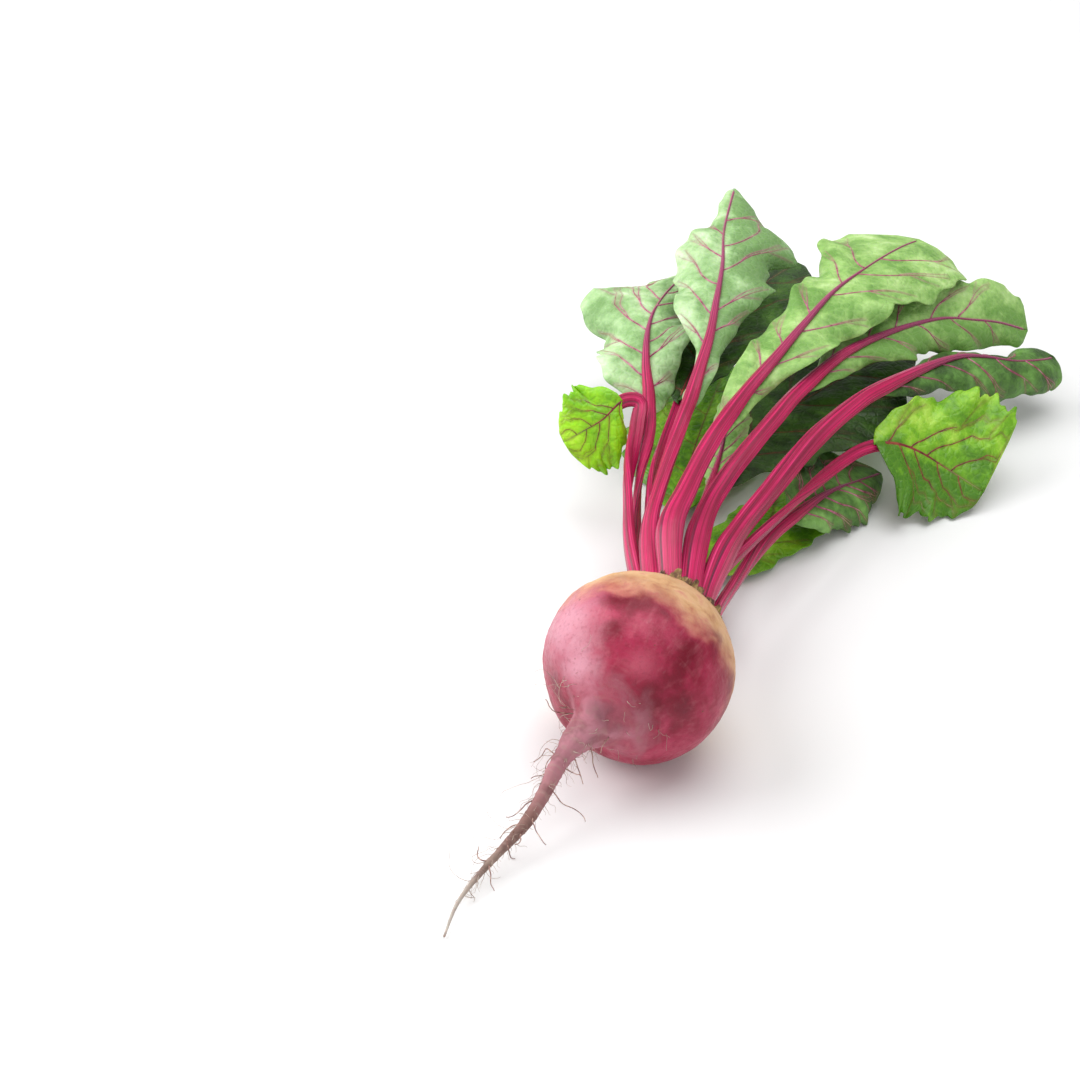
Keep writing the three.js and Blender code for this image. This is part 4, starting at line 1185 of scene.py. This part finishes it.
def blade_shape(leaf, veins):
    """The function that lays out a grid as a leaf's blade, raised between its veins."""

    def shape(across, along):
        place, normal = blade_surface(leaf, along, across)
        near = vein_nearness(leaf, along, across, veins)
        leaf["near"] = near
        leaf["across"] = across
        lifted = PUCKER * ease(near, 0, PUCKER_SPREAD) * (1 - abs(across) ** 6)
        lifted = lifted + DIMPLE * roughened(place, 0.011, 2, 5) * ease(near, 0, 0.004)
        return place + normal * lifted[:, None]

    return shape


for leaf in LEAVES:
    veins = vein_paths(leaf)
    blade = from_grid(leaf["name"] + "_waved_blade", BLADE_COLUMNS, BLADE_ROWS, blade_shape(leaf, veins))
    # Painted light and shade for each side of the blade, as set out in the table above.
    left_shading, right_shading = PAINTED_SIDE_SHADING.get(leaf["name"], EVEN)
    painted_shading_values = 0.5 + (left_shading - 0.5) * ease(-leaf["across"], 0.3, 0.55)
    painted_shading_values = painted_shading_values + (right_shading - 0.5) * ease(leaf["across"], 0, 0.2)
    for name, values in (("vein", leaf["near"]), ("painted_shading", painted_shading_values)):
        blade.data.attributes.new(name, "FLOAT", "POINT").data.foreach_set("value", values)
    # Leaves not listed take the darker top green, which is painted shade.
    top = TOPS.get(leaf["name"], SHADED_TOP)
    underside = UNDERSIDES.get(leaf["name"], PALE)
    up_side, down_side = (underside, top) if leaf["rib"] == "above" else (top, underside)
    blade.data.materials.append(up_side)
    blade.data.materials.append(down_side)
    thicken(blade, BLADE_THICKNESS, 1)
    settle(blade)
    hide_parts(leaf["name"] + "_blade")

    tubes = []
    midrib = np.stack((np.linspace(0, MIDRIB_REACH, 60), np.zeros(60)), -1)
    weight = VEIN_WEIGHTS.get(leaf["name"], 1)
    for path, wide, thin in [(midrib, *MIDRIB_LINE), *veins]:
        steps = np.linspace(0, len(path) - 1, max(len(path), 12))
        u = np.interp(steps, range(len(path)), path[:, 0])
        v = np.interp(steps, range(len(path)), path[:, 1])
        centre, normal = blade_surface(leaf, u, v)
        way = unit(np.gradient(centre, axis=0) + 1e-9)
        across = unit(np.cross(way, normal))
        width = VEIN_WIDTH * weight * (thin + (wide - thin) * (1 - steps / steps[-1]) ** 0.9)
        under = -normal if leaf["rib"] == "below" else normal
        depth = BLADE_THICKNESS + width * 0.75
        centre = centre + under * (width * 0.22)[:, None]
        tubes.append(tube_points(centre, across, under, width, depth, VEIN_SIDES))
    piece = join_tubes(leaf["name"] + "_veins", tubes)
    settle(piece, vein_skin.material)

# The floor and the light: a plain pale floor under a pale sky, a broad soft lamp high on the left that gives the
# root its sheen, a fill from the right and a lamp over the leaves.
bpy.ops.object.select_all(action="DESELECT")
bpy.ops.mesh.primitive_plane_add(size=12, location=(0, 0, 0))
floor = bpy.context.object
floor.name = "studio_floor"
pale = Finish("pale_floor", 0.9)
wash = pale.uneven(pale.coords(), 0.6, 2)
pale.wear(pale.ramp(wash, [(0.3, (0.86, 0.86, 0.86, 1)), (0.7, (0.9, 0.9, 0.9, 1))]))
floor.data.materials.append(pale.material)

# Each lamp's name, place, width and watts. All point at the foot of the leaves.
LAMPS_POINT_AT = Vector((0, 0.08, 0.03))
SKY_STRENGTH = 0.42
LAMPS = [
    ("left_lamp", (-1.0, -0.1, 0.75), 1.3, 16),
    ("right_lamp", (0.8, -0.75, 0.6), 1.2, 2.5),
    ("leaf_lamp", (0.1, 0.35, 1.2), 1.2, 9),
]
for name, place, size, watts in LAMPS:
    bpy.ops.object.light_add(type="AREA", location=place)
    lamp = bpy.context.object
    lamp.name = name
    lamp.data.shape = "DISK"
    lamp.data.size = size
    lamp.data.energy = watts
    lamp.rotation_euler = (LAMPS_POINT_AT - Vector(place)).to_track_quat("-Z", "Y").to_euler()

sky = bpy.context.scene.world or bpy.data.worlds.new("sky")
bpy.context.scene.world = sky
sky.use_nodes = True
sky.node_tree.nodes["Background"].inputs["Color"].default_value = (1, 1, 1, 1)
sky.node_tree.nodes["Background"].inputs["Strength"].default_value = SKY_STRENGTH
